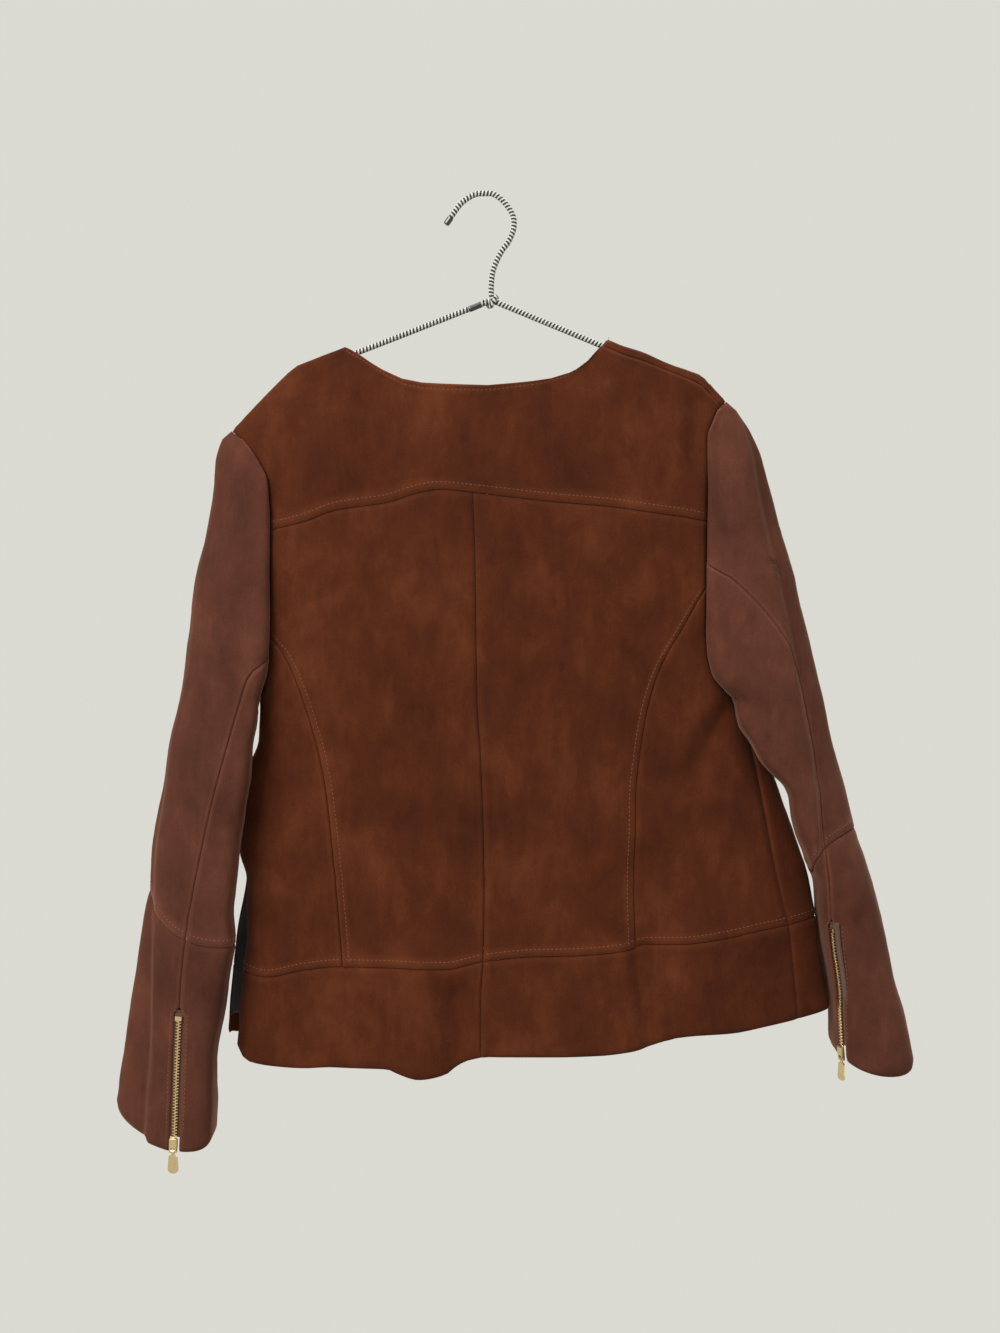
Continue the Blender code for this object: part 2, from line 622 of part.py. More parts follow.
def front_panels():
    """Each front from its shoulder to the waist seam, and its peplum."""
    for side in ("left", "right"):
        bottom = -680 if side == "left" else -638
        edge = front_edge(side, bottom)
        count = COLUMNS["front"]
        neck_count = count - COLUMNS["shoulder"]
        neck = neck_front_places(side, neck_count)
        shoulder_x = spaced(NECK_POINTS[side], SHOULDER_POINTS[side], COLUMNS["shoulder"])
        top = neck[:-1] + shoulder_places(side, shoulder_x, "front")
        top[-1] = edge[0]
        centre_z = matching(-216, smooth(FRONT_WAIST, "z", 9, "x"), edge)
        centre = front_down(CENTRE_FRONT, centre_z, side)
        top[0] = centre[0]
        waist = front_waist(side, count, bottom)
        waist[0] = centre[-1]
        waist[-1] = edge[-1]
        add_body_panel("front_" + side, coons(top, waist, centre, edge))
        add_front_peplum(side, waist, centre[-1])


def front_waist(side, count, bottom):
    """Places along the front's waist seam, from the centre front round to the side seam."""
    last = side_edge(side, [bottom], "front")[0][0]
    first = front_angle(smooth(CENTRE_FRONT, "x", -667), -667, side)
    places = []
    for angle in spaced(first, last, count):
        centre, half = body_frame(-660)
        places.append((angle, smooth(FRONT_WAIST, "z", centre + half * math.sin(angle), "x")))
    return places


def add_front_peplum(side, waist, start):
    count = len(waist) - 1
    first = front_angle(smooth(CENTRE_FRONT, "x", -768), -768, side)
    last_z = -741 if side == "left" else smooth(HEM, "z", 270, "x")
    last = side_edge(side, [last_z], "front")[0][0]
    hem = []
    for i, angle in enumerate(spaced(first, last, count)):
        centre, half = body_frame(-750)
        x = centre + half * math.sin(angle)
        on_back = math.cos(angle) > 0
        hem.append((angle, smooth(HEM if on_back else FRONT_HEM, "z", x, "x")))
    tip = 0.94 if side == "left" else 0.95
    hem.insert(1, (first + (hem[1][0] - first) * (1 - tip) * 4, -757))
    top = list(waist)
    top.insert(1, tuple(np.array(waist[0]) * 0.72 + np.array(waist[1]) * 0.28))
    centre = front_down(CENTRE_FRONT, spaced(start[1], -768, ROWS["waist"]), side)
    outer = side_edge(side, spaced(waist[-1][1], hem[-1][1], ROWS["waist"]), "front")
    top[0] = centre[0]
    hem[0] = centre[-1]
    top[-1] = outer[0]
    hem[-1] = outer[-1]
    add_body_panel("peplum_front_" + side, coons(top, hem, centre, outer))


def back_seam_turn(side, z):
    """The turn at which the sleeve's back seam lies."""
    table = SLEEVES[side]
    inner = smooth(table, "inner", z)
    outer = smooth(table, "outer", z)
    x = smooth(BACK_SEAM[side], "x", z)
    across = (2 * x - inner - outer) / (inner - outer)
    start = HEIGHTS[side]["under_top"]
    return math.acos(min(max(across, -1.0), 1.0)) / (2 * math.pi) * ramp((start - z) / 12)


def front_seam_turn(side, z):
    start = HEIGHTS[side]["under_top"]
    return 1 - FRONT_SEAM_TURN * ramp((start - z) / FRONT_SEAM_RUN)


def elbow_height(side, turn):
    elbow = ELBOW[side]
    across = (1 - math.cos(2 * math.pi * turn)) / 2
    return elbow["inner"] + (elbow["outer"] - elbow["inner"]) * across ** elbow["power"]


def cuff_height(side, turn):
    cuff = CUFF[side]
    share = (1 + math.cos(2 * math.pi * turn - math.radians(cuff["at"]))) / 2
    return cuff["high"] + (cuff["low"] - cuff["high"]) * share


def meet(side, seam, height):
    """The height where a sleeve seam meets the elbow seam or the cuff."""
    z = height(side, 0.1)
    for _ in range(12):
        z = height(side, seam(side, z))
    return z


SLEEVE_GRID = dict(top=12, down=8, lower=7)


def sleeve_panels(side):
    def place(turn, z):
        return sleeve(side, turn, z)

    heights = HEIGHTS[side]
    upper = heights["yoke"] + heights["centre"][1:] + heights["side"][1:]
    split = heights["under_top"]
    shared = [z for z in upper if z >= split]
    elbow_back = meet(side, back_seam_turn, elbow_height)
    elbow_front = meet(side, front_seam_turn, elbow_height)
    down = SLEEVE_GRID["down"]
    back_z = shared + widening(split, elbow_back, down)[1:]
    front_z = shared + widening(split, elbow_front, down)[1:]
    first = [(back_seam_turn(side, z) if z < split else 0.0, z) for z in back_z]
    last = [(front_seam_turn(side, z) if z < split else 1.0, z) for z in front_z]
    columns = SLEEVE_GRID["top"]
    top = [(t, shared[0]) for t in spaced(0, 1, columns)]
    elbow = [(t, elbow_height(side, t)) for t in spaced(first[-1][0], last[-1][0], columns)]
    points = mid_surface(coons(top, elbow, first, last), place)
    points = np.concatenate([armhole_arc(side, columns)[None], points])
    add_sleeve_panel("sleeve_top_" + side, side, points)
    under_elbow = under_sleeve(side, place, first[len(shared) - 1:], last[len(shared) - 1:])
    lower_sleeve(side, place, elbow, under_elbow)


def armhole_arc(side, columns):
    """The sleeve head's first row: the armhole seam where it goes over the shoulder."""
    top = ARMHOLES[side]["top"]
    start = HEIGHTS[side]["yoke"][0]
    points = []
    for i in range(columns + 1):
        angle = math.pi * i / columns
        face = "back" if i * 2 <= columns else "front"
        z = start + (top - start) * math.sin(angle)
        stand = HEAD_STAND * (math.sin(angle) ** 0.5, 0, math.sin(angle))
        if side == "left":
            stand[0] = -stand[0]
        points.append(armhole(side, face, z) + stand)
    return np.array(points)


def under_sleeve(side, place, first, last):
    """From the armhole's underside to the elbow, in a back half and a front half."""
    heights = HEIGHTS[side]
    split = heights["under_top"]
    slit = [z for z in heights["centre"][:-1] + heights["side"] if z <= split]
    rows = len(first) - 1
    elbow_inner = elbow_height(side, 0.0)
    middle = [(0.0, z) for z in widening(ARMPIT, elbow_inner, rows)]
    count = len(slit) - 1
    back_elbow = [(t, elbow_height(side, t)) for t in spaced(first[-1][0], 0.0, count)]
    grid = coons([(0.0, z) for z in slit], back_elbow, first, middle)
    grid[:, :, 0] = np.maximum(grid[:, :, 0], 0)
    back_half = mid_surface(grid, place)
    front_first = [(t - 1, z) for t, z in last]
    front_elbow = [(t, elbow_height(side, t)) for t in spaced(0.0, front_first[-1][0], count)]
    grid = coons([(0.0, z) for z in slit[::-1]], front_elbow, middle, front_first)
    grid[:, 1:, 0] = np.minimum(grid[:, 1:, 0], -1e-9)
    front_half = mid_surface(grid, place)
    points = np.concatenate([back_half, front_half[:, 1:]], axis=1)
    add_sleeve_panel("sleeve_under_" + side, side, points)
    return back_elbow + front_elbow[1:]


def slit_turn(side, z, which):
    """Half the zip's slit as a turn, at a height, before or after the back seam."""
    turn = back_seam_turn(side, z)
    opened = ramp((ZIP_ENDS[side][0] + SLIT_RUN - z) / SLIT_RUN)
    width = np.linalg.norm(sleeve(side, turn + 0.01, z) - sleeve(side, turn - 0.01, z)) / 0.02
    return turn + which * opened * ZIP_SLIT / 2 / width


def lower_sleeve(side, place, elbow, under_elbow):
    """The forearm's two pieces, parted at the cuff by the zip's slit."""
    rows = SLEEVE_GRID["lower"]
    zip_top = ZIP_ENDS[side][0]

    def seam_places(which):
        z0 = meet(side, back_seam_turn, elbow_height)
        end = cuff_height(side, back_seam_turn(side, CUFF[side]["low"]))
        zs = spaced(z0, zip_top + SLIT_RUN, 2) + spaced(zip_top, end, rows - 3)
        return [(slit_turn(side, z, which), z) for z in zs]

    z0 = meet(side, front_seam_turn, elbow_height)
    end = cuff_height(side, front_seam_turn(side, CUFF[side]["low"]))
    last = [(front_seam_turn(side, z), z) for z in spaced(z0, end, rows)]
    first = seam_places(1)
    top = list(elbow)
    top[0] = first[0]
    top[-1] = last[0]
    columns = len(elbow) - 1
    cuff = [(t, cuff_height(side, t)) for t in spaced(first[-1][0], last[-1][0], columns)]
    add_sleeve_panel("sleeve_lower_" + side, side, mid_surface(coons(top, cuff, first, last), place))
    first = seam_places(-1)
    last = [(t - 1, z) for t, z in last]
    top = list(under_elbow)
    top[0] = first[0]
    top[-1] = last[0]
    cuff = [(t, cuff_height(side, t)) for t in spaced(first[-1][0], last[-1][0], len(top) - 1)]
    points = mid_surface(coons(top, cuff, first, last), place)
    add_sleeve_panel("sleeve_lower_under_" + side, side, points)


def lining_panel():
    """The lining of the left front, where the open side shows it, from the suede's own points."""
    inset = SUEDE / 2 + SEAM_GAP + LINING / 2
    parts = []
    for name, rows in (("front_left", slice(-4, -1)), ("peplum_front_left", slice(0, -1))):
        panel = PANELS[name]
        parts.append(panel["points"][rows, -4:] - panel["normals"][rows, -4:] * inset)
    points = np.concatenate(parts)
    normals = np.concatenate([PANELS["front_left"]["normals"][-4:-1, -4:],
                              PANELS["peplum_front_left"]["normals"][:-1, -4:]])
    PANELS["lining_front_left"] = dict(points=points, normals=normals, thick=LINING)


def grid_normals(points):
    """Unit directions across a grid of points, from the back of the cloth to its face."""
    across = np.gradient(points, axis=1)
    down = np.gradient(points, axis=0)
    normal = np.cross(down, across)
    length = np.linalg.norm(normal, axis=2, keepdims=True)
    return normal / np.maximum(length, 1e-9)


def shared_normals():
    """Where pieces meet at a seam they take one direction, so that their edges lie side by side.

    A sleeve takes the body's direction, and pieces of one tube their average.
    """
    total = {}
    for name, panel in PANELS.items():
        rows, columns = panel["points"].shape[:2]
        for i in range(rows):
            for j in range(columns):
                if i in (0, rows - 1) or j in (0, columns - 1):
                    key = meeting_key(total, panel["points"][i, j])
                    total.setdefault(key, []).append((name, panel, i, j))
    for meeting in total.values():
        leading = [entry for entry in meeting if not entry[0].startswith("sleeve")] or meeting
        direction = sum(panel["normals"][i, j] for _, panel, i, j in leading)
        length = np.linalg.norm(direction)
        if length > 0.02:
            for _, panel, i, j in meeting:
                panel["normals"][i, j] = direction / length


def meeting_key(total, point):
    """The key of a seam point already met within a twentieth of a millimetre, or a new one."""
    steps = (-0.05, 0.0, 0.05)
    for shift in ((x, y, z) for x in steps for y in steps for z in steps):
        key = tuple(np.round(point + np.array(shift), 1) + 0.0)
        if key in total:
            return key
    return tuple(np.round(point, 1) + 0.0)


def inset_edges(points, gap):
    """Moves a grid's edge rows and columns in by a gap."""
    moved = points.copy()
    for edge, inner in ((0, 1), (-1, -2)):
        for axis in (0, 1):
            line = np.take(points, edge, axis=axis)
            inward = np.take(points, inner, axis=axis) - line
            tangent = np.gradient(line, axis=0)
            tangent /= np.maximum(np.linalg.norm(tangent, axis=1, keepdims=True), 1e-9)
            inward -= (inward * tangent).sum(1, keepdims=True) * tangent
            inward /= np.maximum(np.linalg.norm(inward, axis=1, keepdims=True), 1e-6)
            if axis == 0:
                moved[edge] += inward * gap
            else:
                moved[:, edge] += inward * gap
    return moved


def material(name, colour, roughness, metallic=0.0):
    made = bpy.data.materials.new(name)
    made.use_nodes = True
    shader = made.node_tree.nodes["Principled BSDF"]
    shader.inputs["Base Color"].default_value = (*colour, 1)
    shader.inputs["Roughness"].default_value = roughness
    shader.inputs["Metallic"].default_value = metallic
    return made


def add_object(name, mesh, finish, collection):
    piece = bpy.data.objects.new(name, mesh)
    mesh.materials.append(finish)
    collection.objects.link(piece)
    return piece


def panel_mesh(name, panel):
    """The closed wall of one garment piece."""
    middle = inset_edges(panel["points"], SEAM_GAP / 2)
    half = panel["normals"] * panel["thick"] / 2
    rows, columns = middle.shape[:2]
    vertices = np.concatenate([(middle + half).reshape(-1, 3), (middle - half).reshape(-1, 3)]) * MM
    back = rows * columns
    faces = []
    for i in range(rows - 1):
        for j in range(columns - 1):
            a = i * columns + j
            b, c, d = a + 1, a + columns + 1, a + columns
            faces.append((a, d, c, b))
            faces.append((a + back, b + back, c + back, d + back))
    rim = [(0, j) for j in range(columns - 1)] + [(i, columns - 1) for i in range(rows - 1)]
    rim += [(rows - 1, j) for j in range(columns - 1, 0, -1)] + [(i, 0) for i in range(rows - 1, 0, -1)]
    for (i, j), (k, m) in zip(rim, rim[1:] + rim[:1]):
        a = i * columns + j
        b = k * columns + m
        faces.append((a, b, b + back, a + back))
    mesh = bpy.data.meshes.new(name)
    mesh.from_pydata([tuple(v) for v in vertices], [], faces)
    triangulate(mesh)
    return mesh


def triangulate(mesh):
    """Splits the walls' bent quads and turns every face outward."""
    shape = bmesh.new()
    shape.from_mesh(mesh)
    bmesh.ops.remove_doubles(shape, verts=shape.verts, dist=1e-6)
    bmesh.ops.dissolve_degenerate(shape, dist=1e-6, edges=shape.edges)
    bmesh.ops.triangulate(shape, faces=shape.faces)
    bmesh.ops.recalc_face_normals(shape, faces=shape.faces)
    shape.to_mesh(mesh)
    shape.free()


def wire(name, places, finish, collection):
    """A length of the hanger's wire through points seen from the back."""
    curve = bpy.data.curves.new(name, "CURVE")
    curve.dimensions = "3D"
    curve.bevel_depth = WIRE_RADIUS * MM
    curve.bevel_resolution = 2
    curve.render_resolution_u = 0
    curve.use_fill_caps = True
    line = curve.splines.new("POLY")
    line.points.add(len(places) - 1)
    for point, place in zip(line.points, places):
        x, y, z = place if len(place) == 3 else (place[0], 0.0, place[1])
        point.co = (x * MM, y * MM, z * MM, 1)
    piece = bpy.data.objects.new(name, curve)
    curve.materials.append(finish)
    collection.objects.link(piece)
    return piece


def bend(arm, side):
    """The bar's bend: an arc that carries on from the end of an arm, down and back under it."""
    end = Vector(arm[-1])
    onward = (end - Vector(arm[-2])).normalized()
    start = end + onward * 4 * SEAM_GAP
    centre = start + Vector((side * onward.y, -side * onward.x)) * BAR_CORNER
    first = math.atan2(start.y - centre.y, start.x - centre.x)
    last = -math.pi / 2 if side > 0 else 3 * math.pi / 2
    places = []
    for angle in spaced(first, last, 8):
        places.append((centre.x + BAR_CORNER * math.cos(angle), centre.y + BAR_CORNER * math.sin(angle)))
    return places


def cap(name, tip, inward, length, finish, collection):
    """A rounded plastic cap on a wire's end."""
    radius = WIRE_RADIUS + 0.35
    direction = Vector((inward[0], 0, inward[1])).normalized()
    mesh = bpy.data.meshes.new(name)
    shape = bmesh.new()
    ring_z = [(0.0, 0.35), (0.25, 0.75), (0.7, 0.95), (1.4, 1.0), (length, 1.0)]
    rings = []
    for along, share in ring_z:
        loop = []
        for i in range(12):
            angle = 2 * math.pi * i / 12
            loop.append(shape.verts.new((radius * share * math.cos(angle) * MM,
                                         radius * share * math.sin(angle) * MM, along * MM)))
        rings.append(loop)
    for low, high in zip(rings, rings[1:]):
        for i in range(12):
            shape.faces.new((low[i], low[(i + 1) % 12], high[(i + 1) % 12], high[i]))
    shape.faces.new(rings[0][::-1])
    shape.faces.new(rings[-1])
    bmesh.ops.recalc_face_normals(shape, faces=shape.faces)
    shape.to_mesh(mesh)
    shape.free()
    piece = add_object(name, mesh, finish, collection)
    piece.rotation_euler = direction.to_track_quat("Z", "Y").to_euler()
    piece.location = (tip[0] * MM, tip[2] * MM if len(tip) > 2 else 0.0, tip[1] * MM)
    return piece


def hanger(finishes, collection):
    """Hook, two arms, bottom bar and two end caps of one bent wire, cut where it is twisted."""
    wire("hanger_hook", HOOK_WIRE, finishes["cord"], collection)
    wire("hanger_arm_left", ARM_LEFT_WIRE, finishes["cord"], collection)
    wire("hanger_arm_right", ARM_RIGHT_WIRE, finishes["cord"], collection)
    bar = bend(ARM_LEFT_WIRE, -1) + bend(ARM_RIGHT_WIRE, 1)[::-1]
    wire("hanger_bar", bar, finishes["cord"], collection)
    start = Vector((HOOK_WIRE[0][0], HOOK_WIRE[0][1]))
    onward = (Vector((HOOK_WIRE[1][0], HOOK_WIRE[1][1])) - start).normalized()
    tip = start - onward * (SEAM_GAP + 7.0)
    cap("hanger_tip_cap", (tip.x, tip.y), onward, 7.0, finishes["cap"], collection)
    start = Vector(END_CAP["start"])
    along = (Vector(END_CAP["end"]) - start).normalized()
    front = -2 * WIRE_RADIUS - 2 * SEAM_GAP
    cap("hanger_end_cap", (start.x, start.y, front), along, END_CAP["length"], finishes["cap"], collection)


def box_mesh(name, size, bevel):
    mesh = bpy.data.meshes.new(name)
    shape = bmesh.new()
    bmesh.ops.create_cube(shape, size=1.0, matrix=Matrix.Diagonal((*[s * MM for s in size], 1)))
    if bevel:
        bmesh.ops.bevel(shape, geom=shape.edges[:], offset=bevel * MM, segments=2, affect="EDGES",
                        clamp_overlap=True)
    shape.to_mesh(mesh)
    shape.free()
    return mesh


def rod(radius, length, along, at, segments=16):
    """A scratch rod for cuts and unions, along x, y or z."""
    mesh = bpy.data.meshes.new("rod")
    turns = dict(x=Matrix.Rotation(math.pi / 2, 4, "Y"), y=Matrix.Rotation(math.pi / 2, 4, "X"),
                 z=Matrix.Identity(4))
    shape = bmesh.new()
    place = Matrix.Translation(Vector(at) * MM) @ turns[along]
    bmesh.ops.create_cone(shape, cap_ends=True, segments=segments, radius1=radius * MM,
                          radius2=radius * MM, depth=length * MM, matrix=place)
    shape.to_mesh(mesh)
    shape.free()
    return mesh


def block(size, at):
    mesh = box_mesh("block", size, 0)
    mesh.transform(Matrix.Translation(Vector(at) * MM))
    return mesh


def combine(name, base, steps):
    """The base mesh with other meshes joined to it or cut from it, in turn."""
    scene = bpy.context.scene
    body_object = bpy.data.objects.new(name, base)
    scene.collection.objects.link(body_object)
    for operation, mesh in steps:
        tool = bpy.data.objects.new("tool", mesh)
        scene.collection.objects.link(tool)
        change = body_object.modifiers.new("step", "BOOLEAN")
        change.operation = operation
        change.object = tool
        bpy.context.view_layer.update()
        graph = bpy.context.evaluated_depsgraph_get()
        result = bpy.data.meshes.new_from_object(body_object.evaluated_get(graph))
        body_object.modifiers.clear()
        body_object.data = result
        bpy.data.objects.remove(tool)
    result = body_object.data
    bpy.data.objects.remove(body_object)
    result.name = name
    return result


def pull_mesh(name):
    """The pull tab in its own frame: its eye's axis is X at the origin, and it hangs down -Z."""
    eye = PIN_RADIUS + EYE_GAP + EYE_WALL
    knuckle = 3.4
    neck = knuckle / 2 - 0.25
    outline = [(-neck, 0.0), (-neck, -3.2), (-3.9, -4.4), (-4.7, -PULL_LENGTH + 3.2)]
    for angle in spaced(200, 340, 8):
        x = 4.75 * math.cos(math.radians(angle))
        z = -PULL_LENGTH + 3.4 + 3.4 * math.sin(math.radians(angle))
        outline.append((x, z))
    outline += [(4.7, -PULL_LENGTH + 3.2), (3.9, -4.4), (neck, -3.2), (neck, 0.0)]
    shape = bmesh.new()
    front = [shape.verts.new((x * MM, -PULL_THICK / 2 * MM, z * MM)) for x, z in outline]
    back = [shape.verts.new((x * MM, PULL_THICK / 2 * MM, z * MM)) for x, z in outline]
    shape.faces.new(front)
    shape.faces.new(back[::-1])
    for i in range(len(outline)):
        j = (i + 1) % len(outline)
        shape.faces.new((front[i], back[i], back[j], front[j]))
    bmesh.ops.recalc_face_normals(shape, faces=shape.faces)
    mesh = bpy.data.meshes.new(name)
    shape.to_mesh(mesh)
    shape.free()
    return combine(name, mesh, [
        ("UNION", rod(eye, knuckle, "x", (0, 0, 0), 20)),
        ("DIFFERENCE", rod(PIN_RADIUS + EYE_GAP, knuckle + 2, "x", (0, 0, 0), 20)),
    ])


LUG_DEPTH = 2.6
LUG_END = 0.6  # how far the lugs reach below the pin
SLIDER = dict(width=7.2, length=8.6, depth=3.4, lug=1.3, lug_gap=4.0, lug_reach=2.6)


def slider_mesh(name):
    """The slider in its own frame: the pull's pin is X at the origin, its body lies above."""
    eye = PIN_RADIUS + EYE_GAP + EYE_WALL
    lift = SLIDER["lug_reach"]
    base = box_mesh(name, (SLIDER["width"], SLIDER["depth"], SLIDER["length"]), 0.7)
    base.transform(Matrix.Translation(Vector((0, 0, eye + 0.5 + SLIDER["length"] / 2)) * MM))
    steps = []
    for sign in (-1, 1):
        x = sign * (SLIDER["lug_gap"] + SLIDER["lug"]) / 2
        size = (SLIDER["lug"], LUG_DEPTH, eye + 2 * LUG_END + lift)
        steps.append(("UNION", block(size, (x, 0, (eye + lift) / 2 - LUG_END))))
    steps.append(("UNION", rod(PIN_RADIUS, SLIDER["lug_gap"] + 1.4, "x", (0, 0, 0), 16)))
    return combine(name, base, steps)


def zip_frame(side):
    """The zip's line at the cuff: a point at its low end, and its across, out and up directions."""
    top, end = ZIP_ENDS[side]
    high = sleeve(side, back_seam_turn(side, top), top)
    low = sleeve(side, back_seam_turn(side, end), end)
    up = (high - low) / np.linalg.norm(high - low)
    turn = back_seam_turn(side, end)
    across = sleeve(side, turn + 0.01, end) - sleeve(side, turn - 0.01, end)
    across -= up * (across @ up)
    across /= np.linalg.norm(across)
    out = np.cross(across, up)
    middle = sleeve(side, 0.25, end) * 0.5 + sleeve(side, 0.75, end) * 0.5
    if out @ (low - middle) < 0:
        out = -out
        across = -across
    return low, across, out, up


def strip_along(side, name, z0, z1, width, depth, lift, count, finish, collection):
    """A band along the zip, following the sleeve, its middle lifted off the suede's middle."""
    _, across, out, _ = zip_frame(side)
    rows = []
    for z in spaced(z0, z1, count):
        centre = sleeve(side, back_seam_turn(side, z), z) + out * lift
        rows.append([centre - across * width / 2, centre, centre + across * width / 2])
    points = np.array(rows)
    normals = np.broadcast_to(out, points.shape).copy()
    panel = dict(points=points, thick=depth, normals=normals)
    add_object(name, panel_mesh(name, panel), finish, collection)


def cuff_zip(side, finishes, collection):
    """Tape, chain, top stop, slider and pull tab of one cuff zip."""
    top, end = ZIP_ENDS[side]
    tape_lift = CHAIN_LIFT - CHAIN_DEPTH / 2 - SEAM_GAP - TAPE / 2
    prefix = "cuff_zip_" + side
    strip_along(side, prefix + "_tape", top - 1, end, ZIP_SLIT - 6 * SEAM_GAP, TAPE, tape_lift, 6,
                finishes["tape"], collection)
    strip_along(side, prefix + "_chain", top - SLIT_RUN, end, CHAIN_WIDTH, CHAIN_DEPTH, CHAIN_LIFT, 6,
                finishes["brass"], collection)
    strip_along(side, prefix + "_top_stop", top - 1.4, top - 5.4, 6.2, 2.4, CHAIN_LIFT + 0.2, 1,
                finishes["brass"], collection)
    low, across, out, up = zip_frame(side)
    eye = PIN_RADIUS + EYE_GAP + EYE_WALL
    reach = eye + 0.5 + SLIDER["length"] + SEAM_GAP
    pin = low - up * reach + out * (CHAIN_LIFT + 1.5)
    turned = Matrix((across, -out, up)).transposed()
    slider = add_object(prefix + "_slider", slider_mesh(prefix + "_slider"), finishes["brass"], collection)
    slider.matrix_world = Matrix.Translation(Vector(pin) * MM) @ turned.to_4x4()
    down = Vector((0, 0, 1))
    sideways = Vector(across)
    sideways.z = 0
    sideways.normalize()
    facing = down.cross(sideways)
    hanging = Matrix((sideways, facing, down)).transposed()
    pull = add_object(prefix + "_pull", pull_mesh(prefix + "_pull"), finishes["brass"], collection)
    pull.matrix_world = Matrix.Translation(Vector(pin) * MM) @ hanging.to_4x4()


def build():
    for old in list(bpy.data.objects):
        bpy.data.objects.remove(old)
    collection = bpy.context.scene.collection
    finishes = dict(
        suede=material("suede", COLOURS["suede"], 0.95),
        sleeve_suede=material("sleeve_suede", COLOURS["sleeve_suede"], 0.95),
        lining=material("lining", COLOURS["lining"], 0.6),
        brass=material("brass", COLOURS["brass"], 0.28, 1.0),
        tape=material("zip_tape", COLOURS["tape"], 0.9),
        cord=material("hanger_cord", COLOURS["cord"], 0.85),
        cap=material("cap_plastic", COLOURS["cap"], 0.25),
    )
    back_panels()
    front_panels()
    for side in ("left", "right"):
        sleeve_panels(side)
    shared_normals()
    lining_panel()
    for name, panel in PANELS.items():
        finish = finishes["suede"]
        if name.startswith("sleeve"):
            finish = finishes["sleeve_suede"]
        if name.startswith("lining"):
            finish = finishes["lining"]
        add_object(name, panel_mesh(name, panel), finish, collection)
    for side in ("left", "right"):
        cuff_zip(side, finishes, collection)
    hanger(finishes, collection)


build()
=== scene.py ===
"""Suede jacket on a cord-wrapped wire hanger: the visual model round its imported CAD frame.

The form of the cloth is the CAD source's own, sampled more finely: tables in millimetres,
+X to the right seen from the back, +Y from the back to the fronts, +Z up.
A place on the body is (angle, height), a place on a sleeve is (turn, height).
"""

import math

import bmesh
import bpy
import numpy as np
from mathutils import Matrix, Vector, noise
from mathutils.bvhtree import BVHTree


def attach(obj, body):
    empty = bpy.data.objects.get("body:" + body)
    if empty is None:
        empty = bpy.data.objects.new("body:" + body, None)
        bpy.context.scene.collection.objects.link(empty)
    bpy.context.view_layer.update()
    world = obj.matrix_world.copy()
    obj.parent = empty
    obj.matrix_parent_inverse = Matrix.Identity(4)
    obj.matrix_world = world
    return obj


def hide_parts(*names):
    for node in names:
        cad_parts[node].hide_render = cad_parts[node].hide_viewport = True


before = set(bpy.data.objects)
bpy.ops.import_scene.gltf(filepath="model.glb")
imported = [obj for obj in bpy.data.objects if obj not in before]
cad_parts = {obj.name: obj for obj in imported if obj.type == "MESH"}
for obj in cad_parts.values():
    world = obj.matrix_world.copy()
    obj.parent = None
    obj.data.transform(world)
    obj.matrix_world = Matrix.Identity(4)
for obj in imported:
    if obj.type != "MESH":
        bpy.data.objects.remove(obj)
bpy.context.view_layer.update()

DENSE = 3  # seam places for each one of the CAD's
FINE = 2  # grid cells between two seam places
CELLS = DENSE * FINE

MM = 0.001

# Driving dimensions, millimetres
SUEDE = 1.4
LINING = 1.0
SEAM_GAP = 0.3
WIRE_RADIUS = 2.45
SHOULDER_ROUND = 4.5  # radius of the cloth where it turns over the hanger
SHOULDER_SPREAD = 62.0  # how fast back and front part below the shoulder
SIDE_POWER = 0.5  # how square the body's and sleeves' sections are
ARMPIT = -441.0
VENT_TOP = -592.0
SEAM_FADE = 0.17  # share of the sleeve's turn that bends to meet the armhole
ARMPIT_FADE = 70.0  # run below the armpit over which the sleeve leaves the body's edge
ARMPIT_TUCK = 26.0  # run over which it comes forward of it
SEAM_PART = 1.9  # how far the sleeve stands off the body round the armpit, middle to middle
PART_RUN = 16.0  # run over which that distance opens
ARMPIT_CLEAR = 4.0  # the same distance just below the armpit
CLEAR_RISE = 8.0  # run over which it grows to that
CLEAR_FADE = 34.0  # run over which the sleeve comes back against the body's edge
FRONT_BULGE = 3.0  # how far the sleeve's front may pass the seam toward the body
UNDER_BULGE = 2.0  # the same below the armpit
HEAD_STAND = np.array([0.7, 0.0, 0.2])  # how far the sleeve head stands out and up from the seam
ZIP_SLIT = 8.8  # width of the cuff's slit
SLIT_RUN = 6.0  # run over which it opens
TAPE = 1.0
CHAIN_LIFT = 0.7  # of the teeth's middle off the suede's, so that they stand in the slit

# The shoulder line seen from the back, and its run inside the neck
SHOULDER = dict(
    x=[-250, -225, -217, -204, -190, -177, -169, -157, -142, -126, -3,
       105, 119, 135, 156, 174, 187, 199, 209, 235],
    z=[-233, -207, -199, -185, -170, -157, -150, -145, -139, -133, -85,
       -127, -133, -138, -146, -153, -159, -171, -181, -208],
)

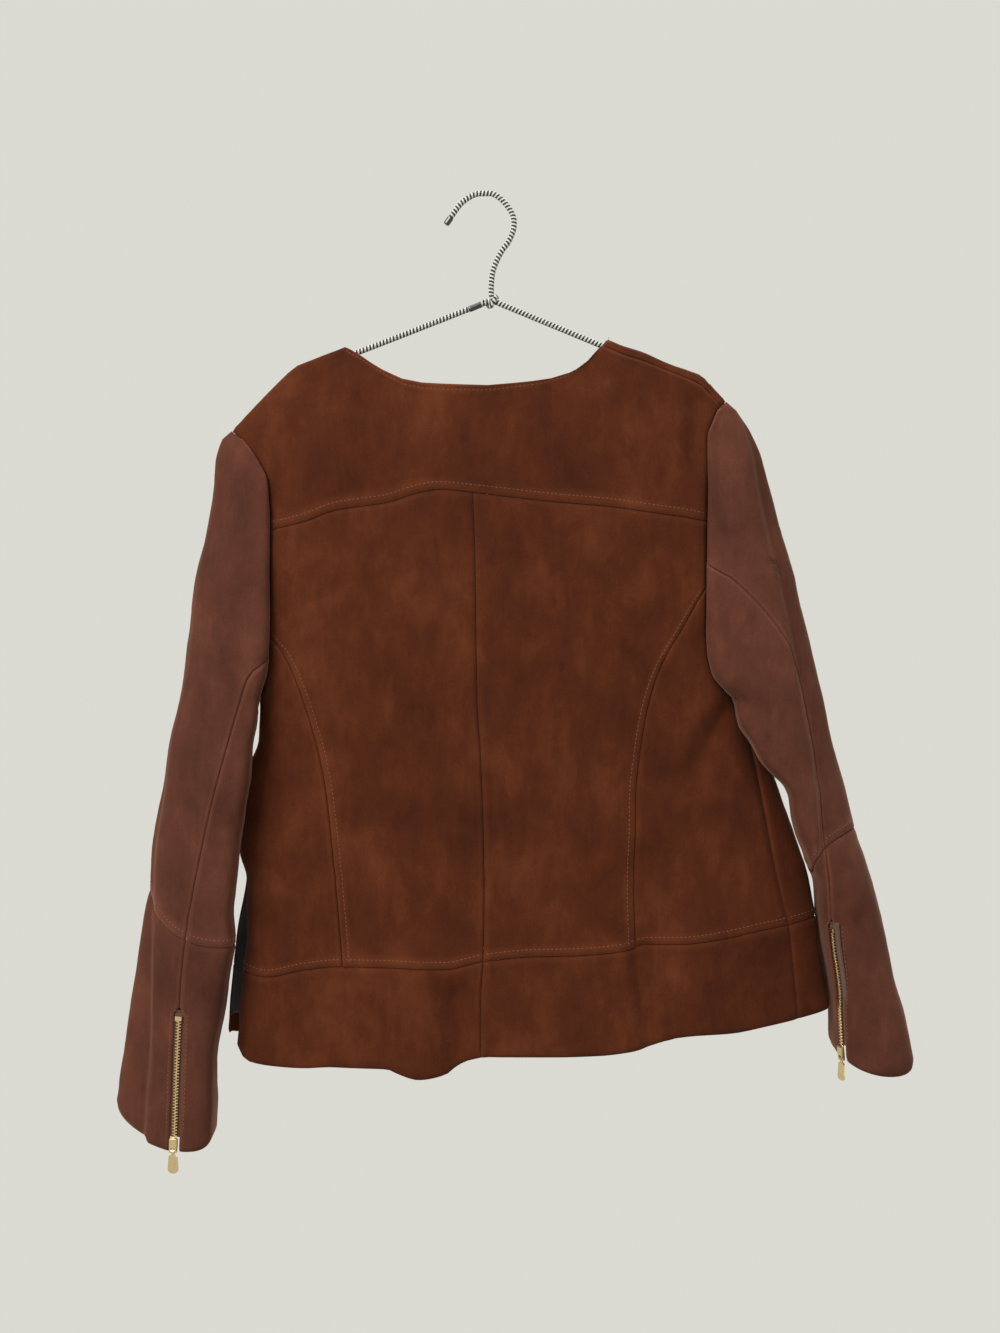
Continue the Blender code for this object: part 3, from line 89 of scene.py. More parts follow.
# Level sections of the body: edges, how far each edge lies toward the front, half depths
BODY = dict(
    z=[-120, -200, -235, -300, -380, -421, -441, -468, -480, -507, -540, -576, -600, -649, -685,
        -717, -775],
    left=[-240, -240, -216, -204, -203, -202, -200, -201.7, -203, -214, -218, -220, -214, -214,
           -217, -220, -222],
    right=[226, 214, 206, 205, 204, 208, 214, 226.5, 233, 250, 262, 275, 282, 289.5, 295.5, 300, 305],
    left_y=[0, 0, 0, 1, 3, 4, 5, 7.8, 9, 11, 11, 10, 10, 9, 8, 8, 8],
    right_y=[0, 0, 0, 1, 3, 4, 5, 7.2, 8, 9, 8, 7, 6, 5, 5, 5, 5],
    back=[26, 27, 28, 30, 32, 32, 32, 32, 32, 32, 33, 33, 34, 34, 36, 38, 42],
    front=[24, 25, 26, 27, 28, 29, 30, 30.9, 31, 31, 32, 32, 33, 34, 35, 37, 40],
)

# Soft folds of the back: a line from (x, z) to (x, z), its inward depth and its half width
BACK_FOLDS = [
    dict(start=(183, -182), end=(184, -240), inward=7.0, width=10),
    dict(start=(-152, -165), end=(-186, -285), inward=4.0, width=16),
    dict(start=(214, -440), end=(180, -505), inward=6.0, width=12),
    dict(start=(-30, -700), end=(-22, -775), inward=8.0, width=16),
    dict(start=(-62, -690), end=(-56, -775), inward=-7.0, width=20),
    dict(start=(129, -655), end=(144, -760), inward=7.0, width=10),
    dict(start=(190, -690), end=(196, -770), inward=-4.0, width=26),
    dict(start=(-150, -690), end=(-152, -775), inward=3.0, width=24),
]

# Level sections of the sleeves: inner and outer edge, their y, half depths, ridge and its step
LEFT_SLEEVE = dict(
    z=[-208, -235, -261, -294, -335, -377, -402, -440, -482, -520, -553, -580, -609, -629, -645,
       -687, -720, -758, -783, -832],
    inner=[-220, -201, -190, -190, -190, -187, -188, -190, -200, -207, -212, -215, -218, -220, -219,
           -225, -230, -236, -236, -239],
    outer=[-230, -239, -241, -247, -257, -263, -267, -271.5, -280.5, -286, -292, -295, -297, -302,
           -305, -311, -316, -321.5, -326, -331],
    inner_y=[0, -3, -5, -7, -9, -10, -11, -15, -23, -26, -27, -26, -25, -24, -24,
             -22, -20, -18, -18, -18],
    outer_y=[0, 2, 5, 8, 9, 9, 9, 8, 7, 6, 5, 4, 4, 4, 4, 6, 8, 9, 10, 10],
    back=[4, 13, 18, 22, 25, 28, 29, 29, 27, 26, 26, 26, 27, 27, 27, 27, 27, 28, 28, 28],
    front=[4, 13, 18, 22, 25, 26, 27, 24, 18, 16, 17, 18, 19, 20, 21, 24, 25, 26, 26, 26],
    ridge=[-229, -234, -239, -245, -252, -257, -260, -268, -275, -280, -284, -286.5, -288, -289, -289,
           -289, -288.5, -290, -293, -295],
    step=[0, 2, 3, 4, 5, 6, 6, 7, 8, 9, 10, 10, 10, 10, 10, 11, 12, 12, 12, 12],
)
RIGHT_SLEEVE = dict(
    z=[-182, -204, -230, -253, -281, -319, -368, -408, -441, -452, -464, -478, -496, -507, -517,
       -528, -540, -560, -576, -589, -600, -617, -649, -685, -717, -770],
    inner=[209, 197, 192, 192, 191, 191, 191, 194, 212, 214, 217, 226, 236, 246, 256,
           261, 262, 267, 274, 280, 285, 288, 292, 298, 303, 305],
    outer=[213, 228, 240, 247, 254, 265, 277, 287, 295, 297, 299, 302, 307, 310, 313,
           316, 319, 323.5, 328, 331, 334, 339, 347, 355, 363, 371],
    inner_y=[0, -2, -3, -4, -5, -6, -8, -10, -15, -19, -23, -25, -26, -27, -27,
             -26, -25, -23, -20, -16, -12, -8, -4, -2, 0, 0],
    outer_y=[0, 3, 6, 8, 9, 10, 10, 9, 8, 8, 8, 8, 8, 8, 8, 8, 8, 8, 7, 6, 5, 4, 3, 2, 0, 0],
    back=[3, 10, 16, 20, 23, 26, 29, 30, 29, 28, 27, 26, 26, 26, 27, 28, 29, 31, 32, 33, 34, 36, 38,
          39, 40, 41],
    front=[3, 9, 15, 19, 22, 25, 26, 26, 23, 20, 18, 16, 15, 15, 16, 17, 18, 20, 23, 26, 28, 31, 34,
           37, 39, 40],
    ridge=[213, 222, 229, 233, 238, 247, 257, 264, 270, 271, 273, 276, 278, 279, 280,
           281, 281, 281, 281, 282, 284, 290, 300, 310, 315, 320],
    step=[0, 5, 8, 9, 9, 9, 9, 9, 9, 9, 9, 9, 9, 9, 9, 9, 9, 8, 5, 2, 0, 0, 0, 0, 0, 0],
)

# Armhole seams: x at each height on the back and on the front
ARMHOLES = dict(
    left=dict(
        top=-207,
        back=dict(z=[-207, -217, -234, -252, -295, -360, -403, -425, -441],
                  x=[-225, -214, -202, -193, -190, -190, -191, -194, -200]),
        front=dict(z=[-207, -230, -260, -300, -360, -410, -441],
                   x=[-225, -205, -192, -185, -183, -188, -200]),
    ),
    right=dict(
        top=-181,
        back=dict(z=[-181, -188, -200, -213, -245, -300, -381, -399, -421, -435, -441],
                  x=[209, 202, 197, 192, 192, 191, 190, 191, 196, 206, 214]),
        front=dict(z=[-181, -200, -230, -300, -360, -410, -441],
                   x=[209, 197, 189, 185, 184, 191, 214]),
    ),
)

# Seams of the back, seen from the back
CENTRE_BACK = dict(z=[-265, -318, -388, -446, -495, -546, -616, -667, -700, -775],
                   x=[-13, -11, -10, -9, -6, -4, -3, -4, -6, -6])
CENTRE_FRONT = dict(z=[-200, -400, -600, -775], x=[-2, 2, 8, 10])
YOKE = dict(x=[-190, -158, -133, -85, -64, -41, -12, 22, 59, 108, 145, 169, 191],
            z=[-295, -288, -279, -272, -265, -261, -264, -268, -272, -276, -281, -284, -288])
PRINCESS = dict(
    left=dict(z=[-387, -403, -424, -449, -472, -499, -528, -563, -603, -636, -673],
              x=[-189, -177, -167, -158, -151, -144, -139, -135, -131, -128, -125]),
    right=dict(z=[-344, -355, -380, -410, -444, -468, -495, -525, -546, -599, -638, -657],
               x=[191, 183, 169, 151, 139, 134, 130, 127, 127, 125, 126, 127]),
)
SIDE_SEAM = dict(z=[-441, -480, -530, -592, -624, -640, -716, -775],
                 x=[214, 229, 239, 250, 257, 261, 268, 272])
WAIST = dict(x=[-214, -194, -160, -125, -84, -37, -4, 38, 79, 121, 135, 167, 203, 238, 261],
             z=[-680, -684, -677, -673, -673, -674, -667, -663, -662, -658, -653, -653, -649, -642, -638])
HEM = dict(x=[-221, -216, -207, -188, -160, -132, -87, -75, -60, -47, -35, -26, -13, 0, 60, 96, 123,
              141, 159, 185, 212, 238, 265, 281],
           z=[-741, -753, -758, -760, -761, -759, -759, -763, -766, -765, -763, -757, -751, -748, -748,
              -747, -744, -740, -733, -730, -729, -725, -720, -717])
FRONT_WAIST = dict(x=[-214, -125, 5, 120, 230, 296], z=[-676, -672, -668, -660, -645, -631])
FRONT_HEM = dict(x=[-232, -222, -190, -100, -16, 3, 10, 17, 36, 120, 210, 301],
                 z=[-724, -742, -748, -750, -753, -764, -784, -764, -751, -742, -728, -711])
NECK_BACK = dict(
    x=[-126, -117, -100, -85, -70, -51, -27, -2, 22, 47, 64, 79, 91, 100, 105],
    z=[-133, -138, -150, -159, -165, -168, -169, -170, -168, -165, -161, -154, -144, -133, -127],
)
NECK_FRONT = dict(
    left=dict(x=[-2, -35, -65, -95, -116, -126], height=[-216, -213, -205, -186, -158, -133]),
    right=dict(x=[-2, 30, 58, 84, 99, 105, 100], height=[-216, -213, -203, -182, -155, -127, -117]),
)
for table in NECK_FRONT.values():
    lengths = np.hypot(np.diff(table["x"]), np.diff(table["height"]))
    table["run"] = [0.0, *np.cumsum(lengths)]
NECK_CLOSE = dict(left=[28, 8], right=[32, 18.5, 11.2, 5.6])  # last columns, before the shoulder seam
NECK_POINTS = dict(left=-126, right=100)
NECK_COLUMNS = [-120, -92, -40, 20, 72]  # where the yoke's columns meet the back neckline
SHOULDER_POINTS = dict(left=-225, right=205)
SHOULDER_SHIFT = dict(left=0.0, right=8.0)  # how far down the back the shoulder seam lies
SHOULDER_END = -185.0  # where the right shoulder seam meets the armhole seam

# Heights of the shared points down each armhole, from under its top band to the armpit
HEIGHTS = dict(
    left=dict(yoke=[-215, -235, -262, -295], centre=[-295, -318, -341, -364, -387],
              side=[-387, -403, -417, -428, -436, -441], under_top=-403),
    right=dict(yoke=[-189, -205, -232, -260, -288], centre=[-288, -305, -322, -333, -344],
               side=[-344, -372, -398, -417, -431, -441], under_top=-322),
)
BACK_SEAM = dict(
    left=dict(z=[-403, -425, -441, -470, -542, -660, -708, -840],
              x=[-186, -206, -211, -219, -238, -260, -264, -269]),
    right=dict(z=[-322, -342, -363, -385, -399, -455, -500, -560, -600, -650, -700, -775],
               x=[190, 215, 236, 254, 262, 277, 284, 288, 292, 297, 304, 308]),
)
FRONT_SEAM_TURN = 0.16
FRONT_SEAM_RUN = 110.0
ELBOW = dict(left=dict(inner=-654, outer=-609, power=2.6), right=dict(inner=-592, outer=-554, power=0.45))
CUFF = dict(left=dict(low=-830, high=-789, at=55), right=dict(low=-766, high=-737, at=105))
ZIP_ENDS = dict(left=(-712, -817), right=(-637, -741))

SLEEVES = dict(left=LEFT_SLEEVE, right=RIGHT_SLEEVE)
PART_FROM = dict(back=-420, front=-360)  # heights below which the sleeve stands off the body

# Hanger: the hook's centreline and the arms, seen from the back
HOOK_WIRE = [(-33, -19), (-26, -9), (-21, -4), (-15, 0), (-9, 2.2), (-3, 2.5), (3, 2.4), (8, 0.2),
             (13, -4), (18, -10), (22, -17), (23, -24), (22, -31), (18, -40), (13, -47), (9, -54),
             (6, -61), (4, -68), (3, -77), (3, -86), (4.5, -91)]
ARM_LEFT_WIRE = [(1.7, -92.1), (-116, -138), (-142, -146), (-161, -152.8)]
ARM_RIGHT_WIRE = [(6.5, -93.0), (102, -132.5), (119, -139.8), (135, -144.7), (161, -154.4)]
BAR_CORNER = 9.0


def slopes(x, y):
    """Slopes of a smooth curve through the points that never overshoots them."""
    step = np.diff(y) / np.diff(x)
    slope = np.zeros(len(x))
    slope[0] = step[0]
    slope[-1] = step[-1]
    same = step[:-1] * step[1:] > 0
    middle = np.zeros(len(step) - 1)
    middle[same] = 2 * step[:-1][same] * step[1:][same] / (step[:-1] + step[1:])[same]
    slope[1:-1] = middle
    return slope


CURVES = {}


def smooth(table, key, at, along="z"):
    """The table's column at a place between its rows."""
    name = (id(table), key, along)
    if name not in CURVES:
        x = np.array(table[along], float)
        y = np.array(table[key], float)
        order = np.argsort(x)
        CURVES[name] = (x[order], y[order], slopes(x[order], y[order]))
    x, y, slope = CURVES[name]
    if at <= x[0]:
        return float(y[0] + slope[0] * (at - x[0]))
    if at >= x[-1]:
        return float(y[-1] + slope[-1] * (at - x[-1]))
    i = int(np.searchsorted(x, at)) - 1
    h = x[i + 1] - x[i]
    t = (at - x[i]) / h
    a = (1 + 2 * t) * (1 - t) ** 2 * y[i] + t * (1 - t) ** 2 * h * slope[i]
    b = t * t * (3 - 2 * t) * y[i + 1] + t * t * (t - 1) * h * slope[i + 1]
    return float(a + b)


def ramp(t):
    t = min(max(t, 0.0), 1.0)
    return t * t * (3 - 2 * t)


def fold_depth(folds, x, z):
    """How far soft folds push the cloth inward at a place seen from the back."""
    total = 0.0
    for fold in folds:
        x0, z0 = fold["start"]
        x1, z1 = fold["end"]
        along = ((x - x0) * (x1 - x0) + (z - z0) * (z1 - z0)) / ((x1 - x0) ** 2 + (z1 - z0) ** 2)
        line = min(max(along, 0.0), 1.0)
        away = math.hypot(x - x0 - line * (x1 - x0), z - z0 - line * (z1 - z0)) / fold["width"]
        total += fold["inward"] * math.exp(-away * away)
    return total


def body_frame(z):
    left = smooth(BODY, "left", z)
    right = smooth(BODY, "right", z)
    return (left + right) / 2, (right - left) / 2


def back_angle(x, z):
    """The angle of a place on the back, from its x."""
    centre, half = body_frame(z)
    return math.asin(min(max((x - centre) / half, -1.0), 1.0))


def front_angle(x, z, side):
    """The angle of a place on the front, counted from the side it belongs to."""
    turn = math.pi if side == "right" else -math.pi
    return turn - back_angle(x, z)


def body(angle, height):
    """The body's point, millimetres, at an angle and a height."""
    centre, half = body_frame(height)
    across = math.sin(angle)
    x = centre + half * across
    top = smooth(SHOULDER, "z", x, "x")
    over = height > top
    z = 2 * top - height if over else height
    toward_back = (math.cos(angle) >= 0) != over
    drop = top - z
    rounding = math.sqrt(max(0.0, 1 - (1 - min(drop / SHOULDER_ROUND, 1.0)) ** 2))
    spread = 1 - math.exp(-drop / SHOULDER_SPREAD)
    depth = smooth(BODY, "back" if toward_back else "front", z)
    side = abs(math.cos(angle)) ** SIDE_POWER
    out = (SHOULDER_ROUND * rounding + (depth - SHOULDER_ROUND) * spread) * side
    edge = smooth(BODY, "right_y" if across > 0 else "left_y", z) * across * across
    if toward_back:
        out -= fold_depth(BACK_FOLDS, x, z) * side * min(1.0, drop / 20)
    y = edge - out if toward_back else edge + out
    if angle < 0 and not toward_back:
        y, x = vent(angle, z, y, x)
    return np.array([x, y, z])


def vent(angle, z, y, x):
    """The left front swings out and back below the open end of the side seam."""
    opened = ramp((VENT_TOP - z) / 70)
    reach = max(0.0, 1 - (-math.pi / 2 - angle) / math.radians(38)) ** 2
    return y + 17 * opened * reach, x - 12 * opened * reach


def ring(side, turn, z):
    """The sleeve's own section, before it is bent to meet the armhole."""
    table = SLEEVES[side]
    column = {name: smooth(table, name, z) for name in table if name != "z"}
    across = math.cos(2 * math.pi * turn)
    toward = math.sin(2 * math.pi * turn)
    middle = (column["inner"] + column["outer"]) / 2
    half = (column["inner"] - column["outer"]) / 2
    x = middle + half * across
    y = column["inner_y"] + (column["outer_y"] - column["inner_y"]) * (1 - across) / 2
    if toward >= 0:
        outward = 1 if side == "right" else -1
        beyond = (x - column["ridge"]) * outward
        y += column["step"] * ramp((beyond + 2) / 7) * toward ** 0.4
        y -= column["back"] * toward ** SIDE_POWER
    else:
        y += column["front"] * (-toward) ** SIDE_POWER
    return np.array([x, y, z])


def armhole(side, face, z):
    """The armhole seam's point at a height, on the back or the front."""
    x = smooth(ARMHOLES[side][face], "x", z)
    angle = back_angle(x, z) if face == "back" else front_angle(x, z, side)
    return body(angle, z)


def near(turn):
    return max(0.0, 1 - turn / SEAM_FADE) ** 2


def sleeve(side, turn, z):
    """The sleeve's point. A turn below 0 is the front face next to the inner edge."""
    whole = turn + 1 if turn < 0 else turn
    outward = 1 if side == "right" else -1
    point = ring(side, whole, z)
    edge = ring(side, 0.0, z)
    if z >= ARMPIT:
        for face, closeness in (("back", near(whole)), ("front", near(1 - whole))):
            seam = armhole(side, face, z)
            point = point + (seam - edge) * closeness
            part = outward * SEAM_PART * ramp((PART_FROM[face] - z) / PART_RUN)
            point[0] += part * closeness
            if face == "front" and whole > 0.5:
                limit = seam[0] + part + outward * FRONT_BULGE * (1 - closeness)
                point[0] = outward * max(outward * point[0], outward * limit)
        return point
    below = ARMPIT - z
    stay = max(0.0, 1 - below / ARMPIT_FADE)
    pull = armhole(side, "back", ARMPIT) - ring(side, 0.0, ARMPIT)
    clear = SEAM_PART + (ARMPIT_CLEAR - SEAM_PART) * ramp(below / CLEAR_RISE)
    clear *= max(0.0, 1 - below / CLEAR_FADE) ** 2
    pull[0] = stay * pull[0] + outward * clear
    pull[1] *= max(0.0, 1 - below / ARMPIT_TUCK) ** 2
    closeness = near(whole) + near(1 - whole) if 0 < whole < 1 else 1.0
    point = point + pull * closeness
    if whole > 0.5:
        limit = edge[0] + pull[0] + outward * UNDER_BULGE * (1 - closeness) * stay
        point[0] = outward * max(outward * point[0], outward * limit)
    return point


def coons(top, bottom, left, right):
    """A grid of places between four edges. Rows run from top to bottom, columns from left to right."""
    u = ((shares(top) + shares(bottom)) / 2)[None, :, None]
    v = ((shares(left) + shares(right)) / 2)[:, None, None]
    top, bottom, left, right = (np.array(edge, float) for edge in (top, bottom, left, right))
    down = (1 - v) * top[None] + v * bottom[None]
    across = (1 - u) * left[:, None] + u * right[:, None]
    corners = ((1 - u) * (1 - v) * top[0] + u * (1 - v) * top[-1]
               + (1 - u) * v * bottom[0] + u * v * bottom[-1])
    return down + across - corners


EDGE_SCALE = np.array([220.0, 1.0])  # an angle's share of a length, millimetres each radian


def spaced(first, last, count):
    return [first + (last - first) * i / count for i in range(count + 1)]


def shares(edge):
    """How far along an edge each of its places lies, from 0 to 1."""
    steps = np.linalg.norm(np.diff(np.array(edge, float) * EDGE_SCALE, axis=0), axis=1)
    run = np.concatenate([[0], np.cumsum(steps)])
    return run / run[-1]


def matching(first, last, edge):
    """Values from first to last, spaced as the places of an edge are."""
    return [first + (last - first) * share for share in shares(edge)]


def widening(first, last, count):
    """As spaced, with the first steps shorter."""
    return [first + (last - first) * (i / count) ** 1.35 for i in range(count + 1)]


def back_line(table, xs):
    """Places on the back along a seam given by x."""
    return [(back_angle(x, smooth(table, "z", x, "x")), smooth(table, "z", x, "x")) for x in xs]


def back_down(table, zs):
    """Places on the back along a seam given by height."""
    return [(back_angle(smooth(table, "x", z), z), z) for z in zs]


def front_down(table, zs, side):
    return [(front_angle(smooth(table, "x", z), z, side), z) for z in zs]


def shoulder_places(side, xs, face):
    """Places along the shoulder seam, which may lie below the shoulder line on the back."""
    places = []
    for x in xs:
        top = smooth(SHOULDER, "z", x, "x")
        shift = SHOULDER_SHIFT[side]
        if face == "back":
            places.append((back_angle(x, top - shift), top - shift))
        else:
            places.append((front_angle(x, top + shift, side), top + shift))
    return places


def over_shoulder(side, z):
    """A front's place on the back armhole seam, reached over the shoulder."""
    x = smooth(ARMHOLES[side]["back"], "x", z)
    height = 2 * smooth(SHOULDER, "z", x, "x") - z
    return front_angle(x, height, side), height


def neck_front_places(side, count):
    """Places along a front's neckline, from the centre front to the shoulder seam."""
    table = NECK_FRONT[side]
    close = NECK_CLOSE[side]
    end = table["run"][-1]
    runs = spaced(0, end - close[0], count // DENSE - len(close))
    runs = denser(runs + [end - before for before in close[1:]] + [end])
    places = []
    for run in runs:
        x = smooth(table, "x", run, "run")
        height = smooth(table, "height", run, "run")
        places.append((front_angle(x, height, side), height))
    return places


def mid_surface(grid, place):
    """The places of a grid as points, with FINE cells for each of the grid's."""
    for axis in (0, 1):
        grid = np.moveaxis(grid, axis, 0)
        steps = [grid[:-1] * (1 - k / FINE) + grid[1:] * (k / FINE) for k in range(FINE)]
        between = np.stack(steps, axis=1).reshape(-1, *grid.shape[1:])
        grid = np.moveaxis(np.concatenate([between, grid[-1:]]), 0, axis)
    return np.array([[place(a, b) for a, b in row] for row in grid])


PANELS = {}  # name of each piece: its grid of middle points and what it is made of


def add_panel(name, points, inside, thick=SUEDE):
    """Keeps a piece's grid of middle points. inside gives a point within the tube near a point."""
    normals = grid_normals(points)
    outward = sum(n @ (p - inside(p)) for n, p in zip(normals.reshape(-1, 3), points.reshape(-1, 3)))
    PANELS[name] = dict(points=points, normals=normals * math.copysign(1, outward), thick=thick)


def body_inside(point):
    return np.array([point[0], 2.0, point[2]])


def add_body_panel(name, grid):
    add_panel(name, mid_surface(grid, body), body_inside)


def add_sleeve_panel(name, side, points):
    def inside(point):
        return (ring(side, 0.0, point[2]) + ring(side, 0.5, point[2])) / 2

    add_panel(name, points, inside)


def denser(values):
    """The same values with others between them, as many as DENSE asks for."""
    made = [values[0]]
    for first, last in zip(values, values[1:]):
        made += spaced(first, last, DENSE)[1:-1] + [last]
    return made


ROLL = [0.0, 1.0, 3.2]  # drops of the rows that round the cloth over the shoulder
COLUMNS = {key: count * DENSE for key, count in dict(centre=7, side=5, shoulder=4, front=11).items()}
ROWS = {key: count * DENSE for key, count in dict(princess=8, waist=4).items()}
for heights in HEIGHTS.values():
    for part in ("yoke", "centre", "side"):
        heights[part] = denser(heights[part])


def back_panels():
    """Yoke, centre backs, side backs and back peplums."""
    centre_x = smooth(CENTRE_BACK, "x", -265)
    yoke_left = spaced(-190, centre_x, COLUMNS["centre"])
    yoke_right = spaced(centre_x, 191, COLUMNS["centre"])
    seam = back_line(YOKE, yoke_left) + back_line(YOKE, yoke_right[1:])
    shoulder = COLUMNS["shoulder"]
    left = spaced(SHOULDER_POINTS["left"], NECK_POINTS["left"], shoulder)
    top = shoulder_places("left", left, "back")
    neck = denser([NECK_POINTS["left"], *NECK_COLUMNS, NECK_POINTS["right"]])
    top += back_line(NECK_BACK, neck[1:-1])
    right = spaced(NECK_POINTS["right"], SHOULDER_POINTS["right"], shoulder)
    top += shoulder_places("right", right, "back")
    left_zs = [-207 - drop for drop in (*ROLL, 4.8, 6.4)] + HEIGHTS["left"]["yoke"]
    left_edge = back_down(ARMHOLES["left"]["back"], left_zs)
    right_zs = [SHOULDER_END, -187, *HEIGHTS["right"]["yoke"]]
    right_edge = back_down(ARMHOLES["right"]["back"], right_zs)
    top[-1] = right_edge[0]
    add_body_panel("back_yoke", coons(top, seam, left_edge, right_edge))
    for side, columns in (("left", yoke_left), ("right", yoke_right)):
        centre_back(side, columns)
        side_back(side)
        back_peplum(side)


def princess_places(side):
    """Places down a princess seam, from the armhole seam to the waist seam."""
    table = PRINCESS[side]
    places = back_down(table, spaced(table["z"][0], table["z"][-1], ROWS["princess"]))
    places[0] = back_down(ARMHOLES[side]["back"], [table["z"][0]])[0]
    places[-1] = back_line(WAIST, [table["x"][-1]])[0]
    return places


def centre_back(side, yoke_x):
    outer = back_down(ARMHOLES[side]["back"], HEIGHTS[side]["centre"]) + princess_places(side)[1:]
    centre_z = spaced(-265, smooth(WAIST, "z", -4, "x"), len(outer) - 1)
    inner = back_down(CENTRE_BACK, centre_z)
    yoke = back_line(YOKE, yoke_x)
    waist_x = spaced(PRINCESS[side]["x"][-1], smooth(CENTRE_BACK, "x", -667), COLUMNS["centre"])
    waist = back_line(WAIST, waist_x)
    if side == "left":
        inner[0] = yoke[-1]
        waist[-1] = inner[-1]
        waist[0] = outer[-1]
        outer[0] = yoke[0]
        add_body_panel("back_centre_left", coons(yoke, waist, outer, inner))
        return
    waist = waist[::-1]
    inner[0] = yoke[0]
    waist[0] = inner[-1]
    waist[-1] = outer[-1]
    outer[0] = yoke[-1]
    add_body_panel("back_centre_right", coons(yoke, waist, inner, outer))


def side_edge(side, zs, face="back"):
    """Places down the side seam, at the left edge or on the back at the right."""
    if side == "left":
        past = 1e-12 if face == "front" else 0.0
        return [(-math.pi / 2 - past, z) for z in zs]
    return back_down(SIDE_SEAM, zs)


def side_waist(side):
    outer_x = -214 if side == "left" else 261
    inner_x = PRINCESS[side]["x"][-1]
    return back_line(WAIST, spaced(inner_x, outer_x, COLUMNS["side"]))


def side_back(side):
    princess = princess_places(side)
    top = back_down(ARMHOLES[side]["back"], HEIGHTS[side]["side"])
    waist = side_waist(side)
    edge = side_edge(side, spaced(ARMPIT, waist[-1][1], ROWS["princess"]))
    top[0] = princess[0]
    top[-1] = edge[0]
    waist[0] = princess[-1]
    waist[-1] = edge[-1]
    add_body_panel("back_side_" + side, coons(top, waist, princess, edge))


def back_peplum(side):
    inner_x = smooth(CENTRE_BACK, "x", -667)
    inner = spaced(PRINCESS[side]["x"][-1], inner_x, COLUMNS["centre"])
    top = side_waist(side)[::-1] + back_line(WAIST, inner)[1:]
    outer_hem = -221 if side == "left" else 270
    middle_hem = smooth(CENTRE_BACK, "x", -748)
    princess_hem = -123 if side == "left" else 133
    hem_x = spaced(outer_hem, princess_hem, COLUMNS["side"])
    hem_x += spaced(princess_hem, middle_hem, COLUMNS["centre"])[1:]
    hem = back_line(HEM, hem_x)
    outer = side_edge(side, spaced(top[0][1], hem[0][1], ROWS["waist"]))
    centre = back_down(CENTRE_BACK, spaced(top[-1][1], hem[-1][1], ROWS["waist"]))
    top[0] = outer[0]
    top[-1] = centre[0]
    hem[0] = outer[-1]
    hem[-1] = centre[-1]
    add_body_panel("peplum_back_" + side, coons(top, hem, outer, centre))


def front_edge(side, bottom):
    """Places down the outer edge of a front: over the shoulder, armhole, then the side seam."""
    top = ARMHOLES[side]["top"]
    places = []
    if SHOULDER_SHIFT[side]:
        places = [over_shoulder(side, z) for z in (SHOULDER_END, top - 2.5, top - 1.0)]
    places += front_down(ARMHOLES[side]["front"], [top - drop for drop in ROLL], side)
    heights = HEIGHTS[side]
    zs = heights["yoke"] + heights["centre"][1:] + heights["side"][1:]
    places += front_down(ARMHOLES[side]["front"], zs, side)[:-1]
    return places + side_edge(side, spaced(ARMPIT, bottom, ROWS["princess"]), "front")


def front_panels():
    """Each front from its shoulder to the waist seam, and its peplum."""
    for side in ("left", "right"):
        bottom = -680 if side == "left" else -638
        edge = front_edge(side, bottom)
        count = COLUMNS["front"]
        neck_count = count - COLUMNS["shoulder"]
        neck = neck_front_places(side, neck_count)
        shoulder_x = spaced(NECK_POINTS[side], SHOULDER_POINTS[side], COLUMNS["shoulder"])
        top = neck[:-1] + shoulder_places(side, shoulder_x, "front")
        top[-1] = edge[0]
        centre_z = matching(-216, smooth(FRONT_WAIST, "z", 9, "x"), edge)
        centre = front_down(CENTRE_FRONT, centre_z, side)
        top[0] = centre[0]
        waist = front_waist(side, count, bottom)
        waist[0] = centre[-1]
        waist[-1] = edge[-1]
        add_body_panel("front_" + side, coons(top, waist, centre, edge))
        add_front_peplum(side, waist, centre[-1])


def front_waist(side, count, bottom):
    """Places along the front's waist seam, from the centre front round to the side seam."""
    last = side_edge(side, [bottom], "front")[0][0]
    first = front_angle(smooth(CENTRE_FRONT, "x", -667), -667, side)
    places = []
    for angle in spaced(first, last, count):
        centre, half = body_frame(-660)
        places.append((angle, smooth(FRONT_WAIST, "z", centre + half * math.sin(angle), "x")))
    return places


FRONT_LOW = -768.0  # height of the fronts' lowest corner


def add_front_peplum(side, waist, start):
    count = len(waist) - 1
    first = front_angle(smooth(CENTRE_FRONT, "x", FRONT_LOW), FRONT_LOW, side)
    last_z = -741 if side == "left" else smooth(HEM, "z", 270, "x")
    last = side_edge(side, [last_z], "front")[0][0]
    hem = []
    for angle in spaced(first, last, count):
        centre, half = body_frame(-750)
        x = centre + half * math.sin(angle)
        on_back = math.cos(angle) > 0
        hem.append((angle, smooth(HEM if on_back else FRONT_HEM, "z", x, "x")))
    top = list(waist)
    centre = front_down(CENTRE_FRONT, spaced(start[1], FRONT_LOW, ROWS["waist"]), side)
    outer = side_edge(side, spaced(waist[-1][1], hem[-1][1], ROWS["waist"]), "front")
    top[0] = centre[0]
    hem[0] = centre[-1]
    top[-1] = outer[0]
    hem[-1] = outer[-1]
    add_body_panel("peplum_front_" + side, coons(top, hem, centre, outer))


def back_seam_turn(side, z):
    """The turn at which the sleeve's back seam lies."""
    table = SLEEVES[side]
    inner = smooth(table, "inner", z)
    outer = smooth(table, "outer", z)
    x = smooth(BACK_SEAM[side], "x", z)
    across = (2 * x - inner - outer) / (inner - outer)
    start = HEIGHTS[side]["under_top"]
    return math.acos(min(max(across, -1.0), 1.0)) / (2 * math.pi) * ramp((start - z) / 12)


